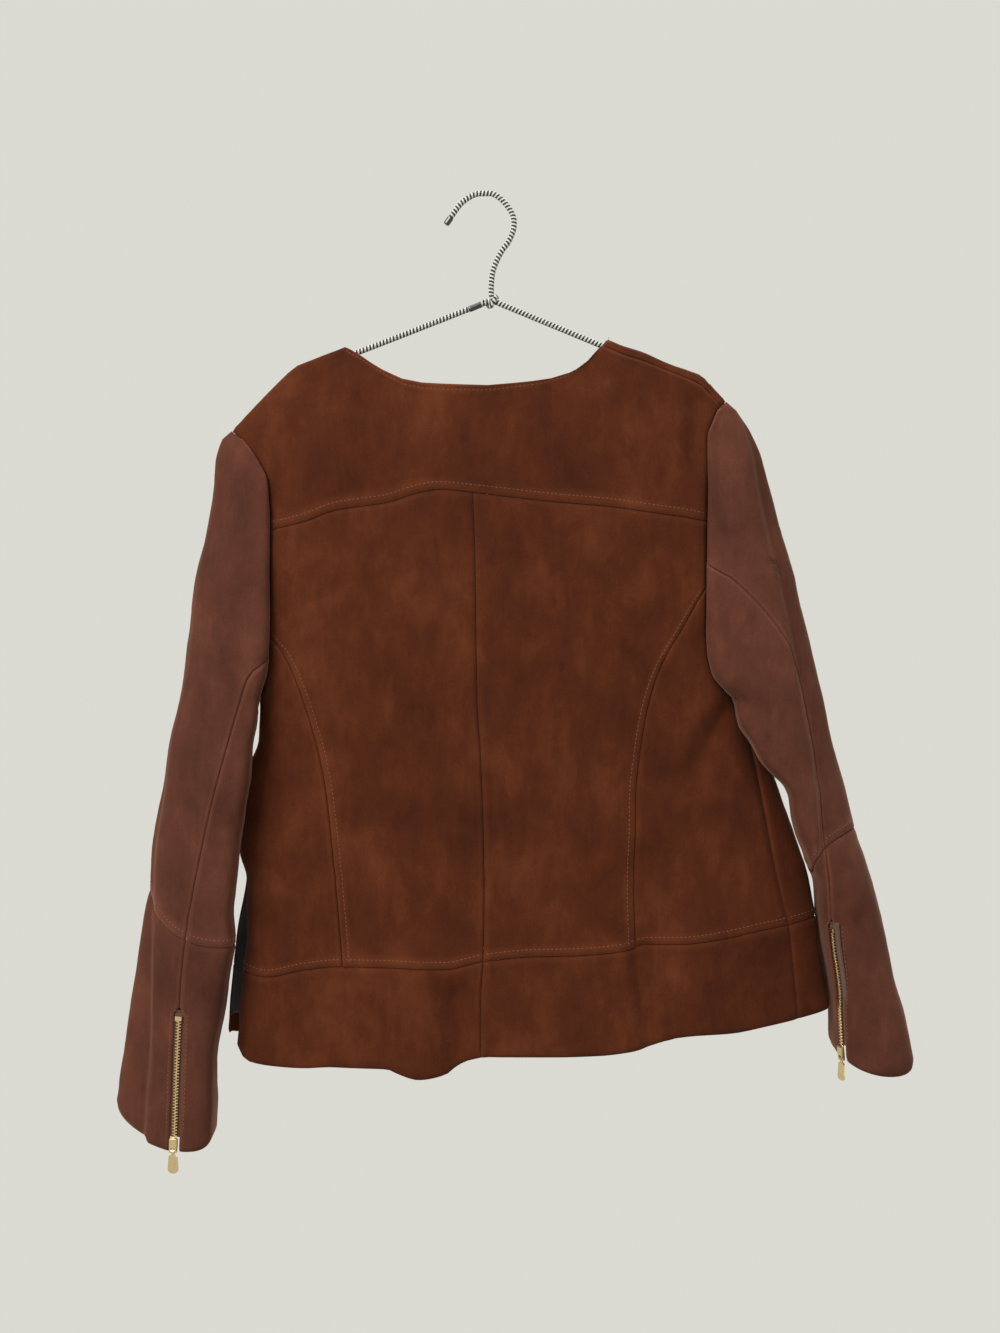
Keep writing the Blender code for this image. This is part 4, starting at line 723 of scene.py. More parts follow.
def front_seam_turn(side, z):
    start = HEIGHTS[side]["under_top"]
    return 1 - FRONT_SEAM_TURN * ramp((start - z) / FRONT_SEAM_RUN)


def elbow_height(side, turn):
    elbow = ELBOW[side]
    across = (1 - math.cos(2 * math.pi * turn)) / 2
    return elbow["inner"] + (elbow["outer"] - elbow["inner"]) * across ** elbow["power"]


def cuff_height(side, turn):
    cuff = CUFF[side]
    share = (1 + math.cos(2 * math.pi * turn - math.radians(cuff["at"]))) / 2
    return cuff["high"] + (cuff["low"] - cuff["high"]) * share


def meet(side, seam, height):
    """The height where a sleeve seam meets the elbow seam or the cuff."""
    z = height(side, 0.1)
    for _ in range(12):
        z = height(side, seam(side, z))
    return z


SLEEVE_GRID = {key: count * DENSE for key, count in dict(top=12, down=8, lower=7).items()}


def sleeve_panels(side):
    def place(turn, z):
        return sleeve(side, turn, z)

    heights = HEIGHTS[side]
    upper = heights["yoke"] + heights["centre"][1:] + heights["side"][1:]
    split = heights["under_top"]
    shared = [z for z in upper if z >= split]
    elbow_back = meet(side, back_seam_turn, elbow_height)
    elbow_front = meet(side, front_seam_turn, elbow_height)
    down = SLEEVE_GRID["down"]
    back_z = shared + widening(split, elbow_back, down)[1:]
    front_z = shared + widening(split, elbow_front, down)[1:]
    first = [(back_seam_turn(side, z) if z < split else 0.0, z) for z in back_z]
    last = [(front_seam_turn(side, z) if z < split else 1.0, z) for z in front_z]
    columns = SLEEVE_GRID["top"]
    top = [(t, shared[0]) for t in spaced(0, 1, columns)]
    elbow = [(t, elbow_height(side, t)) for t in spaced(first[-1][0], last[-1][0], columns)]
    points = mid_surface(coons(top, elbow, first, last), place)
    points = np.concatenate([armhole_arc(side, columns * FINE)[None], points])
    add_sleeve_panel("sleeve_top_" + side, side, points)
    under_elbow = under_sleeve(side, place, first[len(shared) - 1:], last[len(shared) - 1:])
    lower_sleeve(side, place, elbow, under_elbow)


def armhole_arc(side, columns):
    """The sleeve head's first row: the armhole seam where it goes over the shoulder."""
    top = ARMHOLES[side]["top"]
    start = HEIGHTS[side]["yoke"][0]
    points = []
    for i in range(columns + 1):
        angle = math.pi * i / columns
        face = "back" if i * 2 <= columns else "front"
        z = start + (top - start) * math.sin(angle)
        stand = HEAD_STAND * (math.sin(angle) ** 0.5, 0, math.sin(angle))
        if side == "left":
            stand[0] = -stand[0]
        points.append(armhole(side, face, z) + stand)
    return np.array(points)


def under_sleeve(side, place, first, last):
    """From the armhole's underside to the elbow, in a back half and a front half."""
    heights = HEIGHTS[side]
    split = heights["under_top"]
    slit = [z for z in heights["centre"][:-1] + heights["side"] if z <= split]
    rows = len(first) - 1
    elbow_inner = elbow_height(side, 0.0)
    middle = [(0.0, z) for z in widening(ARMPIT, elbow_inner, rows)]
    count = len(slit) - 1
    back_elbow = [(t, elbow_height(side, t)) for t in spaced(first[-1][0], 0.0, count)]
    grid = coons([(0.0, z) for z in slit], back_elbow, first, middle)
    grid[:, :, 0] = np.maximum(grid[:, :, 0], 0)
    back_half = mid_surface(grid, place)
    front_first = [(t - 1, z) for t, z in last]
    front_elbow = [(t, elbow_height(side, t)) for t in spaced(0.0, front_first[-1][0], count)]
    grid = coons([(0.0, z) for z in slit[::-1]], front_elbow, middle, front_first)
    grid[:, 1:, 0] = np.minimum(grid[:, 1:, 0], -1e-9)
    front_half = mid_surface(grid, place)
    points = np.concatenate([back_half, front_half[:, 1:]], axis=1)
    add_sleeve_panel("sleeve_under_" + side, side, points)
    return back_elbow + front_elbow[1:]


def slit_turn(side, z, which):
    """Half the zip's slit as a turn, at a height, before or after the back seam."""
    turn = back_seam_turn(side, z)
    opened = ramp((ZIP_ENDS[side][0] + SLIT_RUN - z) / SLIT_RUN)
    width = np.linalg.norm(sleeve(side, turn + 0.01, z) - sleeve(side, turn - 0.01, z)) / 0.02
    return turn + which * opened * ZIP_SLIT / 2 / width


def lower_sleeve(side, place, elbow, under_elbow):
    """The forearm's two pieces, parted at the cuff by the zip's slit."""
    rows = SLEEVE_GRID["lower"]
    zip_top = ZIP_ENDS[side][0]

    def seam_places(which):
        z0 = meet(side, back_seam_turn, elbow_height)
        end = cuff_height(side, back_seam_turn(side, CUFF[side]["low"]))
        zs = spaced(z0, zip_top + 6, 2 * DENSE) + spaced(zip_top, end, rows - 2 * DENSE - 1)
        return [(slit_turn(side, z, which), z) for z in zs]

    z0 = meet(side, front_seam_turn, elbow_height)
    end = cuff_height(side, front_seam_turn(side, CUFF[side]["low"]))
    last = [(front_seam_turn(side, z), z) for z in spaced(z0, end, rows)]
    first = seam_places(1)
    top = list(elbow)
    top[0] = first[0]
    top[-1] = last[0]
    columns = len(elbow) - 1
    cuff = [(t, cuff_height(side, t)) for t in spaced(first[-1][0], last[-1][0], columns)]
    add_sleeve_panel("sleeve_lower_" + side, side, mid_surface(coons(top, cuff, first, last), place))
    first = seam_places(-1)
    last = [(t - 1, z) for t, z in last]
    top = list(under_elbow)
    top[0] = first[0]
    top[-1] = last[0]
    cuff = [(t, cuff_height(side, t)) for t in spaced(first[-1][0], last[-1][0], len(top) - 1)]
    points = mid_surface(coons(top, cuff, first, last), place)
    add_sleeve_panel("sleeve_lower_under_" + side, side, points)


def lining_panel():
    """The lining of the left front, where the open side shows it, from the suede's own points."""
    inset = SUEDE / 2 + SEAM_GAP + LINING / 2
    parts = []
    last = -3 * CELLS - 1
    shown = (("front_left", slice(last, -1)), ("peplum_front_left", slice(0, -CELLS)))
    for name, rows in shown:
        panel = PANELS[name]
        parts.append(panel["points"][rows, last:] - panel["normals"][rows, last:] * inset)
    points = np.concatenate(parts)
    normals = np.concatenate([PANELS[name]["normals"][rows, last:] for name, rows in shown])
    PANELS["lining_front_left"] = dict(points=points, normals=normals, thick=LINING)


def grid_normals(points):
    """Unit directions across a grid of points, from the back of the cloth to its face."""
    across = np.gradient(points, axis=1)
    down = np.gradient(points, axis=0)
    normal = np.cross(down, across)
    length = np.linalg.norm(normal, axis=2, keepdims=True)
    return normal / np.maximum(length, 1e-9)


def shared_normals():
    """Where pieces meet at a seam they take one direction, so that their edges lie side by side.

    A sleeve takes the body's direction, and pieces of one tube their average.
    """
    total = {}
    for name, panel in PANELS.items():
        rows, columns = panel["points"].shape[:2]
        for i in range(rows):
            for j in range(columns):
                if i in (0, rows - 1) or j in (0, columns - 1):
                    key = meeting_key(total, panel["points"][i, j])
                    total.setdefault(key, []).append((name, panel, i, j))
    for meeting in total.values():
        leading = [entry for entry in meeting if not entry[0].startswith("sleeve")] or meeting
        direction = sum(panel["normals"][i, j] for _, panel, i, j in leading)
        length = np.linalg.norm(direction)
        if length > 0.02:
            for _, panel, i, j in meeting:
                panel["normals"][i, j] = direction / length


def meeting_key(total, point):
    """The key of a seam point already met within a twentieth of a millimetre, or a new one."""
    steps = (-0.05, 0.0, 0.05)
    for shift in ((x, y, z) for x in steps for y in steps for z in steps):
        key = tuple(np.round(point + np.array(shift), 1) + 0.0)
        if key in total:
            return key
    return tuple(np.round(point, 1) + 0.0)


def inset_edges(points, gap):
    """Moves a grid's edge rows and columns in by a gap."""
    moved = points.copy()
    for edge, inner in ((0, 1), (-1, -2)):
        for axis in (0, 1):
            line = np.take(points, edge, axis=axis)
            inward = np.take(points, inner, axis=axis) - line
            tangent = np.gradient(line, axis=0)
            tangent /= np.maximum(np.linalg.norm(tangent, axis=1, keepdims=True), 1e-9)
            inward -= (inward * tangent).sum(1, keepdims=True) * tangent
            inward /= np.maximum(np.linalg.norm(inward, axis=1, keepdims=True), 1e-6)
            if axis == 0:
                moved[edge] += inward * gap
            else:
                moved[:, edge] += inward * gap
    return moved


def bend(arm, side):
    """The bar's bend: an arc that carries on from the end of an arm, down and back under it."""
    end = Vector(arm[-1])
    onward = (end - Vector(arm[-2])).normalized()
    start = end + onward * 4 * SEAM_GAP
    centre = start + Vector((side * onward.y, -side * onward.x)) * BAR_CORNER
    first = math.atan2(start.y - centre.y, start.x - centre.x)
    last = -math.pi / 2 if side > 0 else 3 * math.pi / 2
    places = []
    for angle in spaced(first, last, 8):
        places.append((centre.x + BAR_CORNER * math.cos(angle), centre.y + BAR_CORNER * math.sin(angle)))
    return places


def zip_frame(side):
    """The zip's line at the cuff: a point at its low end, and its across, out and up directions."""
    top, end = ZIP_ENDS[side]
    high = sleeve(side, back_seam_turn(side, top), top)
    low = sleeve(side, back_seam_turn(side, end), end)
    up = (high - low) / np.linalg.norm(high - low)
    turn = back_seam_turn(side, end)
    across = sleeve(side, turn + 0.01, end) - sleeve(side, turn - 0.01, end)
    across -= up * (across @ up)
    across /= np.linalg.norm(across)
    out = np.cross(across, up)
    middle = sleeve(side, 0.25, end) * 0.5 + sleeve(side, 0.75, end) * 0.5
    if out @ (low - middle) < 0:
        out = -out
        across = -across
    return low, across, out, up


# Topstitch rows: how far each lies from its seam, by the seam's style, and the stitches' size
SEAM_ROWS = dict(yoke=6.6, waist=6.0, elbow=6.0, neck=5.7, princess=5.6, zip=3.4, edge=6.0)
STITCH = dict(length=2.7, gap=1.0, width=0.62, height=0.5, sink=0.12)
HOLE = dict(along=0.62, side=0.55, rim=0.25, tip=0.16)

# The cloth's own hills: size, wavelength, seed and stretch
HILLS = [(2.0, 62, 3.1, (1.3, 1, 0.7)), (0.7, 24, 11.7, (1.2, 1, 0.8))]
FINE_HILLS = (0.22, 7.5, 5.3)
PUCKER = (5.5, 21.0)  # wavelength and seed of the puckers along a topstitch row
CREASE = dict(wander=0.25, waves=5.1, end_depth=0.35)
EDGE_FADE = dict(depth=0.85, run=9)  # how the relief flattens toward a piece's edges
RELIEF_ROOM = dict(lining=1.0, cloth=3.4)  # the most that the relief may stand out or in

# Bumps across a seam: size, distance from the edge or the stitch row, and width
WELT = dict(edge=[(-0.3, 0, 0.7)], row=[(-0.3, 0, 1.1)])
# Lightening on the welts: partly wear, partly painted highlight where the raised edge catches light
WELT_WEAR_AND_HIGHLIGHT = dict(edge=[(0.8, 0.6, 1.2)], row=[(0.5, 0, 1.6)])
# Painted shade: darkening along the stitch row and beside it, where the welt's groove lies in shade
WELT_PAINTED_SHADE = [(0.20, 0, 0.9), (0.10, 2.5, 2.0)]
PLAIN_DEPTH = dict(under=0.6, other=0.35)
# Painted shade in a plain seam's groove
PLAIN_PAINTED_SHADE = [(0.22, 0, 0.8)]
# Lightening beside a plain seam: partly wear, partly painted highlight
PLAIN_WEAR_AND_HIGHLIGHT = [(0.5, 1.4, 1.4)]
HEM_SHAPE = [(0.35, 5, 4), (-0.6, 0, 0.9)]
# Painted shade along a hem's turned edge
HEM_PAINTED_SHADE = [(0.5, 0, 1.6)]

# Creases pressed into the cloth, seen from the back: start, end, depth inward and half width
CREASES = dict(
    back=[
        ((-6, -468), (43, -551), 1.6, 6),
        ((20, -500), (62, -560), -1.2, 8),
        ((176, -166), (181, -236), 2.0, 4),
        ((166, -170), (170, -240), -1.6, 6),
        ((212, -444), (181, -500), 2.6, 5),
        ((200, -436), (170, -480), -1.6, 8),
        ((205, -470), (176, -560), -1.4, 10),
        ((225, -520), (205, -620), 1.4, 9),
        ((-150, -170), (-184, -250), 1.6, 9),
        ((-172, -210), (-189, -290), 1.3, 7),
        ((-130, -320), (-120, -470), 1.0, 16),
        ((-60, -300), (-75, -520), 0.9, 20),
        ((90, -300), (82, -470), 1.0, 18),
        ((-185, -520), (-160, -660), 1.4, 14),
        ((-85, -678), (-85, -750), 2.2, 4),
        ((127, -655), (141, -738), 2.4, 4.5),
        ((-27, -690), (-20, -755), 1.8, 5),
        ((-288, -745), (-287, -812), 2.2, 4),
        ((-219, -250), (-232, -420), -1.6, 10),
        ((-205, -300), (-214, -440), 1.5, 8),
        ((-236, -470), (-252, -600), 1.4, 8),
        ((-268, -480), (-276, -620), -1.4, 8),
        ((-262, -640), (-240, -700), 1.3, 7),
        ((214, -438), (258, -472), 2.6, 5),
        ((210, -424), (262, -446), -2.2, 8),
        ((206, -404), (256, -408), 1.8, 7),
        ((205, -372), (246, -360), -1.2, 9),
        ((240, -478), (276, -540), 2.0, 7),
        ((262, -500), (292, -590), -1.8, 8),
        ((285, -560), (318, -640), 1.5, 8),
        ((318, -640), (338, -740), 1.4, 10),
        ((200, -215), (214, -330), 1.4, 9),
    ],
    front=[
        ((-110, -250), (-60, -330), 2.0, 14),
        ((90, -240), (48, -330), 2.0, 14),
        ((-150, -330), (-140, -520), 2.0, 18),
        ((150, -330), (160, -540), 2.2, 18),
        ((-60, -480), (-90, -640), -2.0, 18),
        ((80, -470), (110, -640), 2.0, 16),
        ((190, -450), (150, -540), 2.4, 8),
        ((-190, -450), (-160, -540), 2.0, 8),
        ((-90, -690), (-96, -755), 3.0, 10),
        ((110, -680), (120, -745), 3.0, 10),
        ((210, -660), (220, -735), -2.4, 12),
        ((-205, -440), (-250, -480), 2.2, 7),
        ((-230, -500), (-262, -620), 2.0, 9),
        ((230, -450), (280, -500), 2.2, 7),
        ((280, -520), (310, -640), 2.0, 9),
    ],
)

# Which edges of a piece are topstitched, plain seams or hems: top, bottom, left, right
EDGES = {
    "back_yoke": ("neck", "yoke", "seam", "seam"),
    "back_centre": ("under", "waist", "princess", "princess"),
    "back_side": ("seam", "waist", "under", "seam"),
    "peplum_back": ("under", "hem", "seam", "seam"),
    "front": ("neck", "waist", "edge", "seam"),
    "peplum_front": ("under", "hem", "edge", "seam"),
    "sleeve_top": ("seam", "elbow", "seam", "seam"),
    "sleeve_under": ("seam", "elbow", "seam", "seam"),
    "sleeve_lower_under": ("under", "hem", "seam", "seam"),
    "sleeve_lower": ("under", "hem", "seam", "seam"),
    "lining": ("hem", "hem", "hem", "hem"),
}


def edge_styles(name):
    for key in sorted(EDGES, key=len, reverse=True):
        if name.startswith(key):
            styles = dict(zip(("top", "bottom", "left", "right"), EDGES[key]))
            if name == "back_centre_left":
                styles["right"] = "seam"
            if name == "back_centre_right":
                styles["left"] = "seam"
            return styles
    return {}


def edge_distances(points):
    """Millimetres from each place of a grid to its four edges, along the cloth."""
    across = np.linalg.norm(np.diff(points, axis=1), axis=2)
    down = np.linalg.norm(np.diff(points, axis=0), axis=2)
    left = np.concatenate([np.zeros((points.shape[0], 1)), np.cumsum(across, axis=1)], axis=1)
    top = np.concatenate([np.zeros((1, points.shape[1])), np.cumsum(down, axis=0)], axis=0)
    return dict(left=left, right=left[:, -1:] - left, top=top, bottom=top[-1:] - top)


def stitched(name, edge, style, points):
    """Where along an edge its topstitch row runs, as a share of each place, 0 or 1."""
    count = points.shape[1] if edge in ("top", "bottom") else points.shape[0]
    on = np.ones(count)
    if style == "princess":
        rows = (len(HEIGHTS[name.split("_")[-1]]["centre"]) - 1) * FINE
        on[:rows] = 0
    if name == "back_yoke" and edge == "top":
        on[: COLUMNS["shoulder"] * FINE] = 0
        on[-COLUMNS["shoulder"] * FINE:] = 0
    if name.startswith("front") and edge == "top":
        on[-COLUMNS["shoulder"] * FINE:] = 0
    return on


def bump(distance, centre, width):
    return np.exp(-((distance - centre) / width) ** 2)


def hills(points, scale, seed):
    """Soft noise between -1 and 1 at each place, of a wavelength in millimetres."""
    flat = points.reshape(-1, 3) / scale + seed
    return np.array([noise.noise(Vector(p)) for p in flat]).reshape(points.shape[:2])


def bumps(distance, shapes):
    """Several bumps added up, each of a size, a centre and a width."""
    return sum(size * bump(distance, centre, width) for size, centre, width in shapes)


def relief(name, points, normals):
    """How far the cloth's surface stands out at each place, how much wear and painted highlight lighten it,
    and how much painted shade darkens it along seams and hems.
    """
    height = sum(size * hills(points * np.array(stretch), scale, seed)
                 for size, scale, seed, stretch in HILLS)
    wear_and_highlight = np.zeros(height.shape)
    # The second mask is painted shade laid into seams and hems
    painted_shade = np.zeros(height.shape)
    if name.startswith("lining"):
        return 0.3 * height, wear_and_highlight, painted_shade
    size, scale, seed = FINE_HILLS
    height += size * hills(points, scale, seed)
    shares = dict(back=-normals[..., 1], front=normals[..., 1])
    mean_face = "back" if normals[..., 1].mean() < 0 else "front"
    for face, share in shares.items():
        if name.startswith("sleeve"):
            share = np.clip(2 * share, 0, 1)
        else:
            share = np.clip(share, 0, 1) * (face == mean_face)
        for crease in CREASES[face]:
            height -= share * crease_depth(points, *crease)
    distances = edge_distances(points)
    styles = edge_styles(name)
    for edge in styles:
        height *= 1 - EDGE_FADE["depth"] * bump(distances[edge], 0, EDGE_FADE["run"])
    for edge, style in styles.items():
        distance = distances[edge]
        on = stitched(name, edge, style, points)
        on = on[None, :] if edge in ("top", "bottom") else on[:, None]
        if style in SEAM_ROWS:
            from_row = distance - SEAM_ROWS[style]
            band = 0.5 - 0.5 * np.tanh(from_row / 1.4)
            pucker = hills(points, *PUCKER)
            height += on * (band * (0.4 + 0.2 * pucker) + 0.25 * pucker * bump(from_row, 3, 4.5))
            height += on * (bumps(distance, WELT["edge"]) + bumps(from_row, WELT["row"]))
            wear_and_highlight += on * (bumps(distance, WELT_WEAR_AND_HIGHLIGHT["edge"]) + bumps(from_row, WELT_WEAR_AND_HIGHLIGHT["row"]))
            painted_shade += on * bumps(from_row, WELT_PAINTED_SHADE)
        plain = (1 - on) if style in SEAM_ROWS else 1.0
        if style in ("seam", "under") or style in SEAM_ROWS:
            depth = PLAIN_DEPTH["under" if style == "under" else "other"]
            height += plain * bumps(distance, [(0.22, 3.2, 2.2), (-depth, 0, 0.9)])
            painted_shade += plain * bumps(distance, PLAIN_PAINTED_SHADE)
            wear_and_highlight += plain * bumps(distance, PLAIN_WEAR_AND_HIGHLIGHT)
        if style in ("hem", "edge"):
            height += bumps(distance, HEM_SHAPE)
            painted_shade += bumps(distance, HEM_PAINTED_SHADE)
    return height, np.clip(wear_and_highlight, 0, 1), np.clip(painted_shade, 0, 1)


def crease_depth(points, start, end, inward, width):
    """How deep a crease is at each place, fading toward its ends."""
    start = np.array(start, float)
    run = np.array(end, float) - start
    place = points[..., [0, 2]] - start
    along = (place @ run) / (run @ run)
    line = np.clip(along, 0, 1)
    wander = CREASE["wander"] * width * np.sin(along * CREASE["waves"] + start[0])
    away = np.linalg.norm(place - line[..., None] * run, axis=-1)
    away = np.abs(away + wander * (along > 0) * (along < 1))
    taper = CREASE["end_depth"] + (1 - CREASE["end_depth"]) * np.sin(line * math.pi) ** 0.6
    return inward * taper * bump(away, 0, width)


def new_piece(name, vertices, faces, finish, body="root", smooth_shading=True):
    """Adds one visual piece, vertices in millimetres."""
    mesh = bpy.data.meshes.new(name)
    mesh.from_pydata((np.asarray(vertices) * MM).tolist(), [], [tuple(face) for face in faces])
    mesh.materials.append(finish)
    mesh.polygons.foreach_set("use_smooth", [smooth_shading] * len(mesh.polygons))
    mesh.update()
    piece = bpy.data.objects.new(name, mesh)
    bpy.context.scene.collection.objects.link(piece)
    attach(piece, body)
    return piece


def point_value(piece, name, values):
    attribute = piece.data.attributes.new(name, "FLOAT", "POINT")
    attribute.data.foreach_set("value", np.asarray(values, np.float32))


def wall_faces(rows, columns):
    """A closed wall's quads: its outer grid, its inner grid and the rim between them."""
    back = rows * columns
    i, j = np.meshgrid(np.arange(rows - 1), np.arange(columns - 1), indexing="ij")
    a = (i * columns + j).ravel()
    quads = np.stack([a, a + columns, a + columns + 1, a + 1], axis=1)
    rim = [(0, k) for k in range(columns - 1)] + [(k, columns - 1) for k in range(rows - 1)]
    rim += [(rows - 1, k) for k in range(columns - 1, 0, -1)] + [(k, 0) for k in range(rows - 1, 0, -1)]
    rim = np.array([p * columns + q for p, q in rim])
    following = np.roll(rim, -1)
    sides = np.stack([rim, following, following + back, rim + back], axis=1)
    return np.concatenate([quads, quads[:, ::-1] + back, sides]).tolist()


def tube_faces(base, rings, around):
    """The faces of a closed tube: bands between its rings and a cap at each end."""
    faces = []
    for level in range(rings - 1):
        for turn in range(around):
            a = base + level * around + turn
            b = base + level * around + (turn + 1) % around
            faces.append((a, b, b + around, a + around))
    last = base + (rings - 1) * around
    faces.append(tuple(base + turn for turn in range(around - 1, -1, -1)))
    faces.append(tuple(last + turn for turn in range(around)))
    return faces


def wall(name, panel, finish, title):
    """Adds a garment piece with its seams and creases, and returns the grid of its outer face."""
    middle = inset_edges(panel["points"], SEAM_GAP / 2)
    normals = panel["normals"]
    lift, wear_and_highlight, painted_shade = relief(name, middle, normals)
    room = RELIEF_ROOM["lining" if name.startswith("lining") else "cloth"]
    lift = np.clip(lift, -room, room)
    half = panel["thick"] / 2
    rows, columns = middle.shape[:2]
    distance = np.minimum.reduce(list(edge_distances(middle).values()))
    thin = half * (0.45 + 0.55 * np.clip(distance / 1.5, 0, 1))
    outer = middle + normals * (thin + lift)[..., None]
    inner = middle - normals * (half - lift)[..., None]
    vertices = np.concatenate([outer.reshape(-1, 3), inner.reshape(-1, 3)])
    piece = new_piece(title, vertices, wall_faces(rows, columns), finish)
    shape = bmesh.new()
    shape.from_mesh(piece.data)
    # Masks for the suede: wear with painted highlight on the welts, and painted shade in seams and hems
    for key in ("wear_and_highlight", "painted_shade"):
        shape.verts.layers.float.new(key)
    for key, values in (("wear_and_highlight", wear_and_highlight), ("painted_shade", painted_shade)):
        layer = shape.verts.layers.float[key]
        for vertex, value in zip(shape.verts, [*values.ravel(), *values.ravel()]):
            vertex[layer] = value
    bmesh.ops.remove_doubles(shape, verts=shape.verts, dist=2e-6)
    bmesh.ops.dissolve_degenerate(shape, dist=1e-6, edges=shape.edges)
    bmesh.ops.recalc_face_normals(shape, faces=shape.faces)
    shape.to_mesh(piece.data)
    shape.free()
    piece.data.polygons.foreach_set("use_smooth", [True] * len(piece.data.polygons))
    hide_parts(name)
    return middle + normals * (half + lift)[..., None]


def row_points(outer, edge, inset):
    """A line on a piece's face at a distance from one of its edges."""
    distance = edge_distances(outer)[edge]
    grid = outer
    if edge in ("left", "right"):
        grid = outer.transpose(1, 0, 2)
        distance = distance.T
    if edge in ("bottom", "right"):
        grid = grid[::-1]
        distance = distance[::-1]
    line = []
    for k in range(grid.shape[1]):
        place = int(np.searchsorted(distance[:, k], inset))
        place = min(max(place, 1), grid.shape[0] - 1)
        low, high = distance[place - 1, k], distance[place, k]
        share = 0.0 if high <= low else (inset - low) / (high - low)
        line.append(grid[place - 1, k] * (1 - share) + grid[place, k] * share)
    return np.array(line)


def stitch_run(line, outward):
    """Stitches along a line: the middle, direction and outward direction of each."""
    steps = np.linalg.norm(np.diff(line, axis=0), axis=1)
    run = np.concatenate([[0], np.cumsum(steps)])
    pitch = STITCH["length"] + STITCH["gap"]
    places = []
    for at in np.arange(pitch, run[-1] - pitch / 2, pitch):
        point = np.array([np.interp(at, run, line[:, axis]) for axis in range(3)])
        ahead = np.array([np.interp(at + 1, run, line[:, axis]) for axis in range(3)])
        face = np.array([np.interp(at, run, outward[:, axis]) for axis in range(3)])
        along = (ahead - point) / max(np.linalg.norm(ahead - point), 1e-6)
        places.append((point, along, face / max(np.linalg.norm(face), 1e-6)))
    return places


# A stitch's rings: where along its length, how thick and how high, as shares
STITCH_RINGS = [(-0.5, 0.15, -0.45), (-0.36, 0.75, 0.05), (0, 1.0, 0.3), (0.36, 0.75, 0.05),
                (0.5, 0.15, -0.45)]
SIDES = 6  # of a stitch and of a needle hole


def stitch_mesh(places):
    """Threads bedded in the cloth, each a small six-sided spindle."""
    vertices = []
    faces = []
    for point, along, face in places:
        side = np.cross(face, along)
        base = len(vertices)
        for share, girth, lift in STITCH_RINGS:
            up = lift * STITCH["height"] - STITCH["sink"]
            centre = point + along * share * STITCH["length"] + face * up
            for turn in range(SIDES):
                angle = turn * 2 * math.pi / SIDES
                reach = side * math.cos(angle) * STITCH["width"] + face * math.sin(angle) * STITCH["height"]
                vertices.append(centre + girth * reach / 2)
        faces += tube_faces(base, len(STITCH_RINGS), SIDES)
    return vertices, faces


def hole_mesh(places):
    """The needle holes between the stitches, each a shallow cone whose near-black colour is painted shade
    of the puncture.
    """
    vertices = []
    faces = []
    for point, along, face in places:
        side = np.cross(face, along)
        centre = point - along * (STITCH["length"] + STITCH["gap"]) / 2
        base = len(vertices)
        for turn in range(SIDES):
            angle = turn * 2 * math.pi / SIDES
            reach = along * math.cos(angle) * HOLE["along"] + side * math.sin(angle) * HOLE["side"]
            vertices.append(centre + reach - face * HOLE["rim"])
        vertices.append(centre + face * HOLE["tip"])
        faces.append(tuple(base + turn for turn in range(SIDES - 1, -1, -1)))
        faces += [(base + turn, base + (turn + 1) % SIDES, base + SIDES) for turn in range(SIDES)]
    return vertices, faces


def add_stitches(title, rows):
    """Rows of thread and the holes that they go through."""
    places = []
    for line, outward in rows:
        places += stitch_run(line, outward)
    vertices, faces = stitch_mesh(places)
    new_piece(title, vertices, faces, FINISHES["thread"])
    vertices, faces = hole_mesh(places)
    new_piece(title.replace("stitches", "holes"), vertices, faces, FINISHES["hole_shade_finish"])


# ---- Materials -------------------------------------------------------------------------


class Graph:
    """A material's nodes, added and joined by name."""

    def __init__(self, name):
        self.material = bpy.data.materials.new(name)
        self.material.use_nodes = True
        self.tree = self.material.node_tree
        self.shader = self.tree.nodes["Principled BSDF"]

    def add(self, kind, settings=None, **inputs):
        node = self.tree.nodes.new(kind)
        for key, value in (settings or {}).items():
            setattr(node, key, value)
        for key, value in inputs.items():
            self.join(node, key.replace("_", " "), value)
        return node

    def join(self, node, key, value):
        socket = node.inputs[int(key[1:])] if key[0] == "#" else node.inputs[key]
        if hasattr(value, "links"):
            self.tree.links.new(value, socket)
        else:
            socket.default_value = value

    def math(self, operation, a, b=0.0):
        node = self.add("ShaderNodeMath", dict(operation=operation))
        self.join(node, "#0", a)
        self.join(node, "#1", b)
        return node.outputs[0]

    def noise(self, scale, stretch=(1, 1, 1), detail=3.0, rough=0.5, distort=0.0):
        place = self.add("ShaderNodeTexCoord").outputs["Object"]
        mapped = self.add("ShaderNodeMapping", Vector=place, Scale=stretch)
        return self.add("ShaderNodeTexNoise", Vector=mapped.outputs[0], Scale=scale, Detail=detail,
                        Roughness=rough, Distortion=distort).outputs["Fac"]

    def ramp(self, value, *stops):
        node = self.add("ShaderNodeValToRGB", Fac=value)
        elements = node.color_ramp.elements
        while len(elements) < len(stops):
            elements.new(0.5)
        for element, (at, colour) in zip(elements, stops):
            element.position = at
            element.color = (*colour, 1) if hasattr(colour, "__len__") else (colour, colour, colour, 1)
        return node.outputs[0]

    def mix(self, share, a, b, blend="MIX"):
        node = self.add("ShaderNodeMix", dict(data_type="RGBA", blend_type=blend))
        for socket, value in ((0, share), (6, a), (7, b)):
            if hasattr(value, "links"):
                self.tree.links.new(value, node.inputs[socket])
            else:
                node.inputs[socket].default_value = value
        return node.outputs[2]

    def attribute(self, name):
        return self.add("ShaderNodeAttribute", dict(attribute_name=name)).outputs["Fac"]

    def bump(self, height, strength, distance, below=None):
        node = self.add("ShaderNodeBump", Height=height, Strength=strength, Distance=distance)
        if below is not None:
            self.tree.links.new(below, node.inputs["Normal"])
        return node.outputs[0]

    def set(self, **values):
        for key, value in values.items():
            self.join(self.shader, key.replace("_", " "), value)


